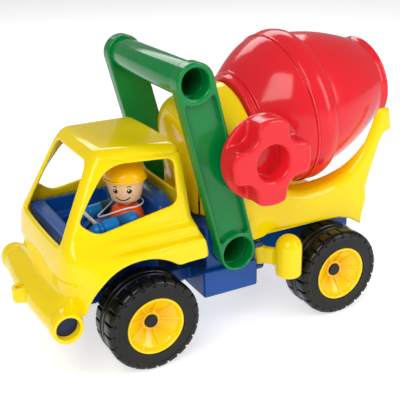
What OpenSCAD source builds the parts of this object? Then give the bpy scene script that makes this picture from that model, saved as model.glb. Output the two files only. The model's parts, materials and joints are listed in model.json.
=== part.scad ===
// Toy cement mixer truck with a hand-turned drum.
// Millimetres, +Z up. The truck faces -X, its left side is -Y.
// The origin is on the ground, midway between the axles on the truck's centre plane.

/* [Wheels] */
// Distance between the two axles
wheelbase = 150; // [144:1:156]
// Outer radius of the tyres over the tread
tyre_r = 33; // [31:0.5:34]
// Width of a tyre
tyre_w = 29; // [25:1:29]
// Distance over the outer faces of the two tyres of an axle
track = 130; // [128:1:134]
// Radius of the rim seat inside the tyre
rim_r = 20.4; // [18:0.2:22]
// Ribs in the dish of a rim
rim_ribs = 9; // [7:1:12]
// Radius of the steel axles
axle_r = 2; // [1.5:0.25:2.5]
// Tread lugs around each shoulder of a tyre
tread_lugs = 24; // [16:2:28]

/* [Cab] */
// Height of the roof above the ground
roof_z = 149.5; // [146:0.5:152]
// Half width of the cab at the sill
cab_half = 49.5; // [48:0.5:50]
// Half width over the fenders
fender_half = 60; // [58:0.5:61]
// Wall thickness of the cab shell
cab_wall = 2.6; // [2:0.1:3]
// Radius of the front wheel arches
arch_r = 38.5; // [37:0.5:39]
// Grooves in the radiator grille
grille_grooves = 13; // [9:2:15]
// Outer radius of the bumper tube
bumper_r = 10.3; // [9:0.1:10.5]
// Half length of the bumper tube
bumper_half = 61.5; // [58:0.5:64]
// Radius of the hole in the tow eye
tow_hole_r = 2.7; // [2:0.1:3]

/* [Carrying frame] */
// Outer radius of the frame's rings
ring_r = 13.2; // [12.8:0.1:14]
// Outer radius of the grip tube at the top
grip_r = 11; // [10.5:0.1:12.6]
// Outer radius of the pivot tube at the bottom
pivot_r = 12.5; // [12:0.1:12.6]
// Bore of the grip tube at the top
grip_bore_r = 9.4; // [8:0.1:9.5]
// Bore of the pivot tube at the bottom
pivot_bore_r = 11; // [9:0.1:11]
// Half length over the rings
frame_half = 60; // [58:0.5:60]
// Thickness of each side arm
arm_t = 10; // [8:0.5:10]
// Distance between the two tubes
arm_len = 124; // [122:1:125]
// Forward lean of the arms at rest
arm_lean = 14; // [13:0.5:14]

/* [Drum] */
// Rise of the drum's axis towards the rear
drum_tilt = 9.7; // [8:0.1:10]
// Radius of the drum at its seam rib
rib_r = 56.5; // [55.5:0.5:57]
// Length of the front shell from the seam
front_len = 38.5; // [36:0.5:40]
// Length of the rear shell from the seam
rear_len = 79; // [75:1:80]
// Radius of the drum's neck at the gear housing
neck_r = 35; // [34:0.5:36]
// Radius of the rear end
tail_r = 32; // [31:0.5:34]
// Radius of the filling mouth in the rear end
mouth_r = 24; // [20:0.5:26]
// Wall thickness of the drum shells
drum_wall = 2.4; // [2:0.1:3]

/* [Gear housing and knob] */
// Radius of the round gear housing
housing_r = 33.5; // [32.5:0.5:34]
// Radius of the hand knob
knob_r = 29; // [26:0.5:30]
// Thickness of the hand knob
knob_t = 18.5; // [16:0.5:20]
// Radius of the knob's shaft
knob_shaft_r = 6; // [5:0.5:6.5]
// Teeth of the pinion on the knob's shaft
pinion_teeth = 8; // [8:1:8]
// Teeth of the crown gear on the drum
crown_teeth = 24; // [24:1:24]

/* [Hidden] */
$fn = 64;

YELLOW = "gold";
GREEN = "seagreen";
BLUE = "royalblue";
RED = "crimson";
fit = 0.06;      // radial clearance of a shaft in its bearing
eps = 0.01;

axle_x = wheelbase / 2;
tyre_in = track / 2 - tyre_w;
pivot = [-9.8, 69];
grip = [pivot[0] - arm_len * sin(arm_lean), pivot[1] + arm_len * cos(arm_lean)];
arm_in = frame_half - arm_t;
beam_half = 28;
deck_z = 50;
bed_z = 70;          // top of the rear beam, under the cradle
block_z = 84;        // top of the block that holds the pivot tube
box_rear = 12;       // rear face of the side boxes
box_front = -31;

cradle_half = 47;    // half width over the cradle's walls
cradle_wall = 2.6;

drum_seam = [56.7, 146.1];
knob_s = -54;                        // where the knob's axis meets the drum's
knob_x = drum_seam[0] + knob_s * cos(drum_tilt);
knob_z = drum_seam[1] + knob_s * sin(drum_tilt);
knob_in = 63;                        // distance of the knob's back from the centre plane
bumper_at = [-133, 46.6];
bumper_bow = 3;
tow_x = -146;

seat = [-73.5, -20];                 // the driver's place
brim_z = 123.2;                      // lower edge of the driver's helmet
shoulder = [-76, 99];
arm_out = 14.2;                      // distance of each arm from the driver's centre plane
peg_r = 2.6;                         // round peg that each arm turns on
peg_in = 8.6;                        // distance of the peg's inner end from that plane
pin_at = [16.5, 42];                   // outrigger pivot, on both sides
foot_at = [31, 60];                  // outrigger foot, on both sides

// A shape drawn along the Y axis, from y0 to y1
module along_y(y0, y1) {
    translate([0, y1, 0]) rotate([90, 0, 0]) linear_extrude(y1 - y0) children();
}

module y_rod(x, z, r, y0, y1) {
    translate([x, y1, z]) rotate([90, 0, 0]) cylinder(r = r, h = y1 - y0);
}

module both_sides() {
    children();
    mirror([0, 1, 0]) children();
}

// Places a shape that was drawn about Z onto the drum's axis, seam at zero
module on_drum_axis() {
    translate([drum_seam[0], 0, drum_seam[1]]) rotate([0, 90 - drum_tilt, 0]) children();
}

module ball(x, y, z, r) {
    translate([x, y, z]) sphere(r = r, $fn = 20);
}

// ---- chassis ----------------------------------------------------------

module axle_boss(x) {
    difference() {
        translate([x - 9, -beam_half - 5, tyre_r - 7]) cube([18, 2 * (beam_half + 5), 20]);
        y_rod(x, tyre_r, axle_r + fit, -beam_half - 6, beam_half + 6);
    }
}

module outrigger_lug(z) {
    difference() {
        hull() {
            translate([box_rear - 3, -pin_at[1] - 4.5, z]) cube([3, 9, 3]);
            translate([pin_at[0], -pin_at[1], z]) cylinder(r = 4.5, h = 3);
        }
        translate([pin_at[0], -pin_at[1], z - 1]) cylinder(r = 2, h = 5);
    }
}

module chassis() {
    color(BLUE) difference() {
        union() {
            translate([-121, -beam_half, 40]) cube([121 + box_front, 2 * beam_half, deck_z - 40]);
            translate([box_front, -49.5, 34]) cube([box_rear - box_front, 99, 20]);
            translate([box_front + 4, -45, 50]) cube([31, 90, block_z - 50]);
            translate([0, -beam_half, 44]) cube([108, 2 * beam_half, bed_z - 44]);
            axle_boss(-axle_x);
            axle_boss(axle_x);
            both_sides() {
                outrigger_lug(44.5);
                outrigger_lug(61.8);
                translate([box_rear - 6, -pin_at[1] - 4.5, 44.5])
                    cube([6, pin_at[1] + 5.5 - beam_half, 20.3]);
            }
        }
        y_rod(pivot[0], pivot[1], pivot_r + fit, -50, 50);
        for (x = [30, 95], y = [-18, 18]) translate([x, y, 43]) cylinder(r = 1.5, h = 30);
        for (y = [-22, 22]) {
            translate([-37, y, 39]) cylinder(r = 1.5, h = 12);
            translate([-113, y, 39]) cylinder(r = 1.5, h = 12);
        }
        for (x = [-axle_x, axle_x]) y_rod(x, tyre_r, axle_r + fit, -40, 40);
    }
}

// ---- cab --------------------------------------------------------------

// The glasshouse, its walls moved inwards by t
module upper_cab(t) {
    hull() both_sides() {
        ball(-90.5, 31, roof_z - 7, 7 - t);
        ball(-48, 34.5, roof_z - 8.5, 7 - t);
        ball(-103.5, 36, 123, 8 - t);
        ball(-120, cab_half - 12, 88, 10 - t);
        ball(-45, cab_half - 5.5, 93, 5 - t);
        ball(-45, cab_half - 5.5, 80, 5 - t);
    }
}

// The body below the sill with its fenders, its walls moved inwards by t
module lower_cab(t) {
    hull() both_sides() {
        ball(-119, 34, 75, 14 - t);
        ball(-117, 34, 52, 14 - t);
        ball(-107, fender_half - 9, 76, 9 - t);
        ball(-107, fender_half - 9, 52, 9 - t);
        ball(-35, fender_half - 5, 78, 5 - t);
        ball(-35, fender_half - 5, 52, 5 - t);
        ball(-44.5, cab_half - 5, 94, 5 - t);
        ball(-104, cab_half - 8, 91, 8 - t);
    }
}

module side_window() {
    offset(r = 4) offset(delta = -4)
        polygon([[-88.5, 139.5], [-48, 138], [-48, 108.5], [-103.5, 98.3], [-115, 108], [-106.5, 121]]);
}

module windshield() {
    offset(r = 4) offset(delta = -4)
        polygon([[-36.5, 92], [36.5, 92], [28, 141], [-28, 141]]);
}

module rear_window() {
    offset(r = 5) offset(delta = -5) translate([-28, 110]) square([56, 26]);
}

module bumper_body() {
    y_rod(bumper_at[0], bumper_at[1], bumper_r, -bumper_half, -bumper_half + 14);
    y_rod(bumper_at[0], bumper_at[1], bumper_r, bumper_half - 14, bumper_half);
    both_sides() hull() {
        y_rod(bumper_at[0], bumper_at[1], bumper_r, bumper_half - 14.5, bumper_half - 14, $fn = 48);
        y_rod(bumper_at[0] - bumper_bow, bumper_at[1], bumper_r, 0, 18, $fn = 48);
    }
}

module cab_shell() {
    color(YELLOW) difference() {
        union() {
            difference() {
                union() {
                    upper_cab(0);
                    lower_cab(0);
                }
                upper_cab(cab_wall);
                lower_cab(cab_wall);
                translate([-150, -70, 20]) cube([120, 140, deck_z - 20]);
                translate([-60, -70, 20]) cube([40, 140, 71.5 - 20]);
            }
            for (y = [-22, 22]) translate([-37, y, deck_z]) cylinder(r = 5, h = 40);
        }
        for (y = [-22, 22]) translate([-37, y, deck_z - 1]) cylinder(r = 1.5, h = 21);
        y_rod(-axle_x - 6.3, 42.4, arch_r, -70, 70);
        along_y(-70, 70) side_window();
        translate([-150, 0, 0]) rotate([90, 0, 90]) linear_extrude(60) windshield();
        translate([-60, 0, 0]) rotate([90, 0, 90]) linear_extrude(40) rear_window();
        for (i = [0 : grille_grooves - 1]) {
            u = 2 * i / (grille_grooves - 1) - 1;
            tall = 7 + 11 * (1 - u * u);
            translate([-140, u * 27 - 0.6, 66 - tall / 2]) cube([8.2, 1.2, tall]);
        }
        translate([-145, -63, 20]) cube([22.2, 126, bumper_at[1] + bumper_r - 20 + 0.1]);
    }
}

module bumper() {
    color(YELLOW) difference() {
        union() {
            bumper_body();
            translate([tow_x, 0, bumper_at[1] - 5]) cylinder(r = 5.5, h = 10.5);
            for (y = [-22, 22]) translate([-127, y - 5, deck_z]) cube([18, 10, 5]);
        }
        translate([tow_x, 0, 30]) cylinder(r = tow_hole_r, h = 30);
        both_sides() y_rod(bumper_at[0], bumper_at[1], 7.7, bumper_half - 9, bumper_half + 1);
        for (y = [-22, 22]) translate([-113, y, 40]) cylinder(r = 1.5, h = 20);
    }
}

module bumper_plugs() {
    color("midnightblue") both_sides()
        y_rod(bumper_at[0], bumper_at[1], 7.7, bumper_half - 9, bumper_half - 6);
}

module cab_interior() {
    color(BLUE) union() {
        difference() {
            translate([-122, -43, 73]) cube([78, 86, 21]);
            translate([-109, -39.5, 77]) cube([63, 79, 20]);
            column_rod(2.02);
        }
        translate([-100, -26, deck_z]) cube([46, 52, 24]);
        translate([-85, -36, 76]) cube([39, 72, 6]);
        translate([-56, -36, 76]) cube([10, 72, 32]);
    }
}

module column_rod(r) {
    translate([-110.5, seat[1], 88]) rotate([0, 53, 0]) cylinder(r = r, h = 14);
}

module steering_column() {
    color(BLUE) column_rod(2);
}

module steering_wheel() {
    color("gainsboro") translate([-98.3, seat[1], 97.2]) rotate([0, 53, 0]) {
        rotate_extrude() translate([7, 0]) circle(r = 1.3, $fn = 24);
        cylinder(r = 3, h = 2.4, center = true);
        for (a = [0, 120, 240]) rotate(a) translate([0, -1, -0.8]) cube([7, 2, 1.6]);
    }
}

// ---- driver -----------------------------------------------------------

module driver_torso() {
    color("orangered") translate([seat[0], seat[1], 84]) difference() {
        union() {
            cylinder(r1 = 9.5, r2 = 8, h = 18);
            translate([0, 0, 18]) cylinder(r1 = 8, r2 = 6.8, h = 2.4);
        }
        translate([0, 0, 8]) cylinder(r = 3 + fit, h = 16);
    }
}

module driver_legs() {
    color("dodgerblue") for (y = [-4.2, 4.2]) {
        translate([-92, seat[1] + y - 3.8, 82]) cube([8.9, 7.6, 6]);
        translate([-97, seat[1] + y - 3.8, 77]) cube([7, 7.6, 11]);
    }
}

module driver_head() {
    color("bisque") translate([seat[0], seat[1], 0]) {
        difference() {
            translate([0, 0, 117.4]) sphere(r = 12.6);
            translate([-20, -20, brim_z]) cube([40, 40, 10]);
        }
        translate([0, 0, 92.5]) cylinder(r = 3, h = 16);
    }
}

module driver_helmet() {
    color("orange") translate([seat[0], seat[1], brim_z]) {
        intersection() {
            translate([0, 0, -4.2]) sphere(r = 14);
            translate([-20, -20, 0]) cube([40, 40, 20]);
        }
        cylinder(r = 14.6, h = 1.6);
    }
}

// The sleeve points forwards and a little down, and ends in a round hand
module driver_arm() {
    translate([shoulder[0], 0, shoulder[1]]) rotate([0, -97, 0]) {
        cylinder(r = 4.4, h = 19);
        sphere(r = 4.4);
        translate([0, 0, 19]) cylinder(r = 3, h = 3);
        translate([0, 0, 24]) sphere(r = 3.6);
    }
}

module driver_arm_left() {
    color("dodgerblue") union() {
        translate([0, seat[1] - arm_out, 0]) driver_arm();
        y_rod(shoulder[0], shoulder[1], peg_r, seat[1] - arm_out, seat[1] - peg_in);
    }
}

module driver_arm_right() {
    color("dodgerblue") union() {
        translate([0, seat[1] + arm_out, 0]) driver_arm();
        y_rod(shoulder[0], shoulder[1], peg_r, seat[1] + peg_in, seat[1] + arm_out);
    }
}

// ---- carrying frame ---------------------------------------------------

// Outline of one arm: a ring at each end joined by a straight web
module arm_outline(r) {
    translate(pivot) circle(r = r);
    translate(grip) circle(r = r);
    translate(pivot) rotate(arm_lean) translate([0.05 - r, 0]) square([2 * r - 0.1, arm_len]);
}

module frame_arm() {
    difference() {
        along_y(-frame_half, -arm_in) arm_outline(ring_r);
        difference() {
            along_y(-frame_half - 1, -frame_half + 4.5) translate(pivot) rotate(arm_lean)
                translate([-ring_r + 2.4, 0]) square([2 * ring_r - 4.8, arm_len]);
            y_rod(pivot[0], pivot[1], ring_r + 0.6, -frame_half - 2, -arm_in);
            y_rod(grip[0], grip[1], ring_r + 0.6, -frame_half - 2, -arm_in);
        }
        y_rod(pivot[0], pivot[1], pivot_bore_r, -frame_half - 1, -arm_in + 1);
        y_rod(grip[0], grip[1], grip_bore_r, -frame_half - 1, -arm_in + 1);
    }
}

module frame_arm_left() {
    color(GREEN) frame_arm();
}

module frame_arm_right() {
    color(GREEN) mirror([0, 1, 0]) frame_arm();
}

module frame_tube(at, tube_r, bore_r) {
    difference() {
        y_rod(at[0], at[1], tube_r, -arm_in, arm_in);
        y_rod(at[0], at[1], bore_r, -arm_in - 1, arm_in + 1);
    }
}

module grip_tube() {
    color(GREEN) frame_tube(grip, grip_r, grip_bore_r);
}

module pivot_tube() {
    color(GREEN) frame_tube(pivot, pivot_r, pivot_bore_r);
}

// ---- cradle and gear housing ------------------------------------------

// Side view of a cradle wall: a saddle under the drum and a post behind it
module cradle_outline() {
    polygon([[5, 84], [5, 71], [11, 68], [19, 69], [25, 73], [60, 71.2], [85, 69.5], [96, 66],
             [106, 59.5], [105.5, 65], [113, 96], [121.5, 122], [125, 128], [134, 129.5],
             [131.5, 132], [128.5, 148], [119, 149.5], [115.5, 146], [111, 132], [104, 116.5],
             [95, 105.5], [83, 98.5], [66, 95], [50, 96], [37, 100.5], [22, 109], [4, 115],
             [-8, 115], [-8, 84]]);
}

// The band just inside the outline's edge, which stands inwards as a flange
module cradle_rim() {
    difference() {
        cradle_outline();
        offset(delta = -cradle_wall) cradle_outline();
    }
}

module cradle() {
    color(YELLOW) difference() {
        union() {
            both_sides() {
                along_y(cradle_half - cradle_wall, cradle_half) cradle_outline();
                // [start, end, width]: the flange is widest under the drum
                for (part = [[30, 44, 9.5], [44, 76, 18], [76, 90, 14.5], [90, 104, 9.5]])
                    along_y(cradle_half - part[2], cradle_half) intersection() {
                        cradle_rim();
                        translate([part[0], 93]) square([part[1] - part[0], 30]);
                    }
                along_y(cradle_half - 5, cradle_half) intersection() {
                    cradle_rim();
                    polygon([[88, 95], [124, 118], [131, 160], [88, 160]]);
                }
            }
            translate([-8, -cradle_half, block_z]) cube([16, 2 * cradle_half, cradle_wall]);
            translate([5.4, -cradle_half, bed_z]) cube([cradle_wall, 2 * cradle_half, 15]);
            translate([5.4, -cradle_half, bed_z]) cube([100, 2 * cradle_half, cradle_wall]);
        }
        for (x = [30, 95], y = [-18, 18]) translate([x, y, 60]) cylinder(r = 1.5, h = 20);
        y_rod(knob_x, knob_z, 15, -50, -40);
    }
}

module housing_solid(t) {
    nose_r = 14;
    on_drum_axis() translate([0, 0, -86 + t]) rotate_extrude() {
        difference() {
            square([housing_r - t, 46]);
            translate([housing_r - nose_r, 0]) square([nose_r, nose_r - t]);
        }
        translate([housing_r - nose_r, nose_r - t]) intersection() {
            circle(r = nose_r - t);
            translate([0, -nose_r]) square([nose_r, nose_r]);
        }
    }
}

module gear_housing() {
    color(YELLOW) difference() {
        union() {
            housing_solid(0);
            translate([-25, -30, block_z + 2.6]) cube([40, 60, 38]);
            y_rod(knob_x, knob_z, 12, -48, -20);
            y_rod(knob_x, knob_z, 17, -36, -20);
        }
        housing_solid(2.5);
        on_drum_axis() translate([0, 0, -55]) cylinder(r = housing_r - 2.5, h = 40);
        translate([-22.5, -27.5, 80]) cube([35, 55, 45]);
        y_rod(knob_x, knob_z, knob_shaft_r + fit, -60, -15);
        on_drum_axis() translate([0, 0, -39]) cylinder(r = 60, h = 40);
    }
}

module bearing_plate() {
    color(YELLOW) on_drum_axis() difference() {
        union() {
            translate([0, 0, -41.4]) cylinder(r = housing_r - 2.5, h = 2.4);
            translate([0, 0, -41.4]) cylinder(r = 9, h = 6.2);
        }
        translate([0, 0, -45]) cylinder(r = 5 + fit, h = 20);
    }
}

// ---- drive ------------------------------------------------------------

pitch_r = 26;                                        // crown radius at the pinion
tooth_pitch = 2 * PI * pitch_r / crown_teeth;
pinion_pitch_r = pitch_r * pinion_teeth / crown_teeth;
pitch_s = knob_s + pinion_pitch_r;                   // pitch plane along the drum's axis
addendum = 1.6;

module crown_gear() {
    color("whitesmoke") on_drum_axis() difference() {
        union() {
            translate([0, 0, pitch_s + 2]) cylinder(r = 29.5, h = -41.8 - pitch_s - 2);
            for (i = [0 : crown_teeth - 1]) rotate(i * 360 / crown_teeth)
                translate([23, 0, pitch_s - addendum])
                    linear_extrude(addendum + 2.5) translate([0, -1.05]) square([6, 2.1]);
        }
        translate([0, 0, -60]) cylinder(r = 5, h = 30);
    }
}

module pinion() {
    turn = 180 / pinion_teeth;
    color("whitesmoke") translate([knob_x, -23.6, knob_z]) rotate([90, -drum_tilt, 0]) difference() {
        linear_extrude(4.9) {
            circle(r = pinion_pitch_r - 1.9);
            for (i = [0 : pinion_teeth - 1]) rotate(turn + i * 360 / pinion_teeth)
                polygon([[0, -1.3], [pinion_pitch_r, -1.1], [pinion_pitch_r + addendum, -0.6],
                         [pinion_pitch_r + addendum, 0.6], [pinion_pitch_r, 1.1], [0, 1.3]]);
        }
        translate([0, 0, -1]) cylinder(r = 4, h = 8);
    }
}

module knob_shaft() {
    color("whitesmoke") {
        y_rod(knob_x, knob_z, knob_shaft_r, -67, -29.2);
        y_rod(knob_x, knob_z, 4, -29.2, -20);
    }
}

// A lobed grip on a full round flange, with a deep well in the middle
module knob() {
    flange_t = 4;
    well_r = 12.2;
    color(RED) translate([knob_x, -knob_in, knob_z]) rotate([90, 0, 0]) difference() {
        rotate_extrude() polygon([[0, 0], [knob_r - 1.5, 0], [knob_r, 1.5],
            [knob_r, knob_t - 2], [knob_r - 2, knob_t], [0, knob_t]]);
        for (a = [45 : 90 : 315])
            rotate(a) translate([knob_r + 1.5, 0, flange_t]) cylinder(r = 10.5, h = knob_t);
        translate([0, 0, 7]) cylinder(r = well_r, h = knob_t);
        translate([0, 0, -1]) cylinder(r = knob_shaft_r, h = 5);
    }
}

module drum_shaft() {
    color("silver") on_drum_axis() translate([0, 0, -48]) cylinder(r = 5, h = 16);
}

// ---- drum -------------------------------------------------------------

band_end = 15.5;     // where the widest band ends, behind the seam
shell_r = rib_r - 1;
cone_r = rib_r - 4.6;

// Radius of the front shell at distance s before the seam
function front_r(s) = shell_r - (shell_r - neck_r) * pow(s / front_len, 1.3);

// Radius of the rear shell at distance s behind the seam: a proud band, then a bowed cone
function rear_r(s) = s < band_end ? shell_r + 2 * sin(180 * s / band_end)
    : max(tail_r, cone_r - (cone_r - tail_r) * pow((s - band_end) / (rear_len - band_end - 5), 1.6));

// A wall of drum_wall thickness inside a list of [radius, distance] points
function wall(outer) = concat(outer, [for (i = [len(outer) - 1 : -1 : 0]) outer[i] - [drum_wall, 0]]);

module drum_front() {
    steps = 16;
    hub_s = 34.6;        // back of the hub disc that is fixed on the drum's shaft
    outer = [for (i = [1 : steps]) [front_r(front_len * i / steps), -front_len * i / steps]];
    web = [[10, -front_len], [10, -hub_s], [5, -hub_s], [5, drum_wall - hub_s],
           [10 + drum_wall, drum_wall - hub_s], [10 + drum_wall, drum_wall - front_len]];
    inner = [for (i = [steps - 2 : -1 : 0]) [front_r(front_len * i / steps) - drum_wall,
                                             -front_len * i / steps]];
    color(RED) on_drum_axis() rotate_extrude($fn = 96)
        polygon(concat([[rib_r, 0], [rib_r, -1.6], [shell_r, -1.6]], outer, web, inner));
}

module drum_rear() {
    band = [for (i = [0 : 6]) let (s = band_end * i / 6) [rear_r(s * 0.999), s]];
    cone = [for (i = [0 : 16]) let (s = band_end + (rear_len - band_end) * i / 16) [rear_r(s), s + eps]];
    color(RED) on_drum_axis() rotate_extrude($fn = 96) {
        polygon(wall(concat(band, cone)));
        translate([rib_r - 5, 0]) square([5, 1.6]);
        translate([mouth_r, rear_len - drum_wall]) square([tail_r - mouth_r, drum_wall]);
        translate([tail_r - 2, rear_len - 3.5]) square([3, 3.5]);
    }
}

// ---- wheels -----------------------------------------------------------

// A rim drawn about +Z with its outer face at z = 0
module rim_shape() {
    depth = tyre_w - 1;
    difference() {
        union() {
            difference() {
                translate([0, 0, -depth]) cylinder(r = rim_r, h = depth);
                translate([0, 0, -9]) cylinder(r1 = 7, r2 = rim_r - 2, h = 9 + eps);
                translate([0, 0, -depth - 1]) cylinder(r = rim_r - 2.4, h = 15);
            }
            translate([0, 0, -depth]) cylinder(r = 6, h = depth - 9.5);
            for (i = [0 : rim_ribs - 1]) rotate(i * 360 / rim_ribs) translate([5, 0.7, -13])
                rotate([90, 0, 0]) linear_extrude(1.4)
                    polygon([[0, 0], [13.6, 0], [13.6, 11.5], [0, 4.6]]);
        }
        translate([0, 0, -depth - 1]) cylinder(r = axle_r, h = depth + 2);
        translate([0, 0, -10.5]) cylinder(r = 4.4, h = 12);
    }
}

module tyre_shape() {
    base_r = tyre_r - 1.6;
    difference() {
        union() {
            rotate_extrude() polygon([[rim_r, 0], [base_r - 4, 0], [base_r, -4],
                [base_r, -tyre_w + 4], [base_r - 4, -tyre_w], [rim_r, -tyre_w]]);
            for (i = [0 : tread_lugs - 1]) {
                rotate((i + 0.5) * 360 / tread_lugs) translate([base_r - 3, -2.6, -10.5]) cube([4.6, 5.2, 8]);
                rotate(i * 360 / tread_lugs) translate([base_r - 3, -2.6, -tyre_w + 2.5]) cube([4.6, 5.2, 8]);
            }
        }
        translate([0, 0, -tyre_w - 1]) cylinder(r = rim_r, h = tyre_w + 2);
    }
}

// Puts a wheel part on the left (side = -1) or right (side = 1) end of an axle
module on_wheel(x, side) {
    translate([x, side * track / 2, tyre_r]) rotate([-90 * side, 0, 0]) children();
}

module rim(x, side) {
    color("gold") on_wheel(x, side) translate([0, 0, -0.5]) rim_shape();
}

module tyre(x, side) {
    color("darkslategray") on_wheel(x, side) tyre_shape();
}

module axle(x) {
    color("silver") y_rod(x, tyre_r, axle_r, -track / 2 + 11, track / 2 - 11);
}

module axle_caps(x) {
    color("darkslategray") for (side = [-1, 1]) on_wheel(x, side) translate([0, 0, -11])
        cylinder(r = 4.4, h = 3);
}

// ---- outriggers -------------------------------------------------------

module outrigger() {
    foot_r = 9.4;
    dome = [for (a = [0 : 7.5 : 82.5]) [foot_r * cos(a), 21.6 + foot_r * sin(a)]];
    reach = sqrt(pow(foot_at[0] - pin_at[0], 2) + pow(foot_at[1] - pin_at[1], 2));
    difference() {
        union() {
            translate([foot_at[0], -foot_at[1], 42]) rotate_extrude()
                polygon(concat([[0, 0], [foot_r, 0]], dome, [[0, 21.6 + foot_r]]));
            translate([pin_at[0], -pin_at[1], 48]) cylinder(r = 4.4, h = 13.4);
            translate([pin_at[0], -pin_at[1], 0])
                rotate([0, 0, -atan2(foot_at[1] - pin_at[1], foot_at[0] - pin_at[0])])
                    translate([0, 2, 0]) rotate([90, 0, 0]) linear_extrude(4) polygon([[0, 48.5],
                        [reach - foot_r, 48.5], [reach - 4, 43.5], [reach - 2, 60.9], [0, 60.9]]);
        }
        translate([pin_at[0], -pin_at[1], 40]) cylinder(r = 2 + fit, h = 30);
    }
}

module outrigger_left() {
    color(YELLOW) outrigger();
}

module outrigger_right() {
    color(YELLOW) mirror([0, 1, 0]) outrigger();
}

module outrigger_pins() {
    color("silver") both_sides() translate([pin_at[0], -pin_at[1], 44.5]) cylinder(r = 2, h = 20.3);
}

// ---- fasteners --------------------------------------------------------

module screw(x, y, z, len) {
    translate([x, y, z - 2]) cylinder(r = 3, h = 2);
    translate([x, y, z - eps]) cylinder(r = 1.5, h = len);
}

module cradle_screws() {
    color("silver") for (x = [30, 95], y = [-18, 18]) screw(x, y, 44, 28);
}

module cab_screws() {
    color("silver") for (y = [-22, 22]) screw(-37, y, 40, 28);
}

module bumper_screws() {
    color("silver") for (y = [-22, 22]) screw(-113, y, 40, 14.5);
}

chassis();
cab_shell();
bumper();
bumper_plugs();
cab_interior();
steering_column();
steering_wheel();
driver_torso();
driver_legs();
driver_head();
driver_helmet();
driver_arm_left();
driver_arm_right();
frame_arm_left();
frame_arm_right();
grip_tube();
pivot_tube();
cradle();
gear_housing();
bearing_plate();
crown_gear();
pinion();
knob_shaft();
knob();
drum_front();
drum_rear();
drum_shaft();
axle(-axle_x);  // front_axle
axle(axle_x);  // rear_axle
rim(-axle_x, -1);  // rim_front_left
rim(-axle_x, 1);  // rim_front_right
rim(axle_x, -1);  // rim_rear_left
rim(axle_x, 1);  // rim_rear_right
tyre(-axle_x, -1);  // tyre_front_left
tyre(-axle_x, 1);  // tyre_front_right
tyre(axle_x, -1);  // tyre_rear_left
tyre(axle_x, 1);  // tyre_rear_right
axle_caps(-axle_x);  // front_axle_caps
axle_caps(axle_x);  // rear_axle_caps
outrigger_left();
outrigger_right();
outrigger_pins();
cradle_screws();
cab_screws();
bumper_screws();
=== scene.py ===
# %% [markdown]
# # A toy mixer truck, piece by piece
# The real toy is a set of glossy injection mouldings snapped and screwed together: a thin yellow cab, a blue
# chassis, a green carrying frame, a red drum and four hollow wheels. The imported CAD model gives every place
# and size. This lesson builds the finished skins around it and gives each plastic its own surface.

# %% Load the frame
import json
import math

import bpy
import numpy as np
from mathutils import Matrix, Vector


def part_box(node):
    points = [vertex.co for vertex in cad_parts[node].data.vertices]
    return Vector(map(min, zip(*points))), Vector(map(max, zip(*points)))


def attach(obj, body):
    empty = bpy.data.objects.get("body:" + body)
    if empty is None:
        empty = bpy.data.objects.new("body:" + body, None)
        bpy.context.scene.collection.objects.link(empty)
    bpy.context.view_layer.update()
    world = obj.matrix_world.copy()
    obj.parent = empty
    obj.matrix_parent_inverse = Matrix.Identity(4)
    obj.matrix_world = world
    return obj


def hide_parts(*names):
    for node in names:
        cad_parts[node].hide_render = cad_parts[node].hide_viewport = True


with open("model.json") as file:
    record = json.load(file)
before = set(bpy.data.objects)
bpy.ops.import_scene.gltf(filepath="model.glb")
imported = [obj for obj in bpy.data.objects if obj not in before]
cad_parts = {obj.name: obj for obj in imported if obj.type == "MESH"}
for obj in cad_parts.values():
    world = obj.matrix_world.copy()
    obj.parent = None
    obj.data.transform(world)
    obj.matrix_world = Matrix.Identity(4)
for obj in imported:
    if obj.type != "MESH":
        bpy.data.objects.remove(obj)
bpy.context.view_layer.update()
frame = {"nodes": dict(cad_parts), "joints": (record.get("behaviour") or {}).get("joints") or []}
joints = {j["name"]: j for j in frame["joints"]}
MM = 0.001

# %% [markdown]
# ## Places taken from the frame
# Joints give the axes that pieces turn on, and node boxes give where they end. Shapes are worked out in
# millimetres, because a wall of 2.6 is easier to picture than 0.0026, and turned into metres at the end.

# %% Read the driving places in millimetres
def joint_at(name):
    return np.array(joints[name]["pos_m"], float) / MM


def box_mm(node):
    low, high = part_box(node)
    return np.array(low) / MM, np.array(high) / MM


def centre_mm(node):
    return sum(box_mm(node)) / 2


front_axle, rear_axle = joint_at("front_axle_spin"), joint_at("rear_axle_spin")
drum_at, drum_axis = joint_at("drum_spin"), np.array(joints["drum_spin"]["axis"], float)
knob_at, pivot_at = joint_at("knob_spin"), joint_at("frame_swing")
grip_at = centre_mm("grip_tube")
print("drum axis through", drum_at.round(1), "knob through", knob_at.round(1), "grip at", grip_at.round(1))

# %% [markdown]
# ## The camera and the studio
# The camera stands to the left of the truck's nose and looks slightly down on it. Its place is worked out
# from two angles and a distance, as one notes them in a studio. Three large soft boxes and a pale sky
# give long clean highlights, which is what makes moulded plastic look like plastic.

# %% Camera
AZIMUTH, ELEVATION, ROLL = (math.radians(a) for a in (-27.62, 22.06, -1.05))
CAMERA_AWAY = 0.57159
AIM = np.array([-0.00746, 0.0, 0.08617])


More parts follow.
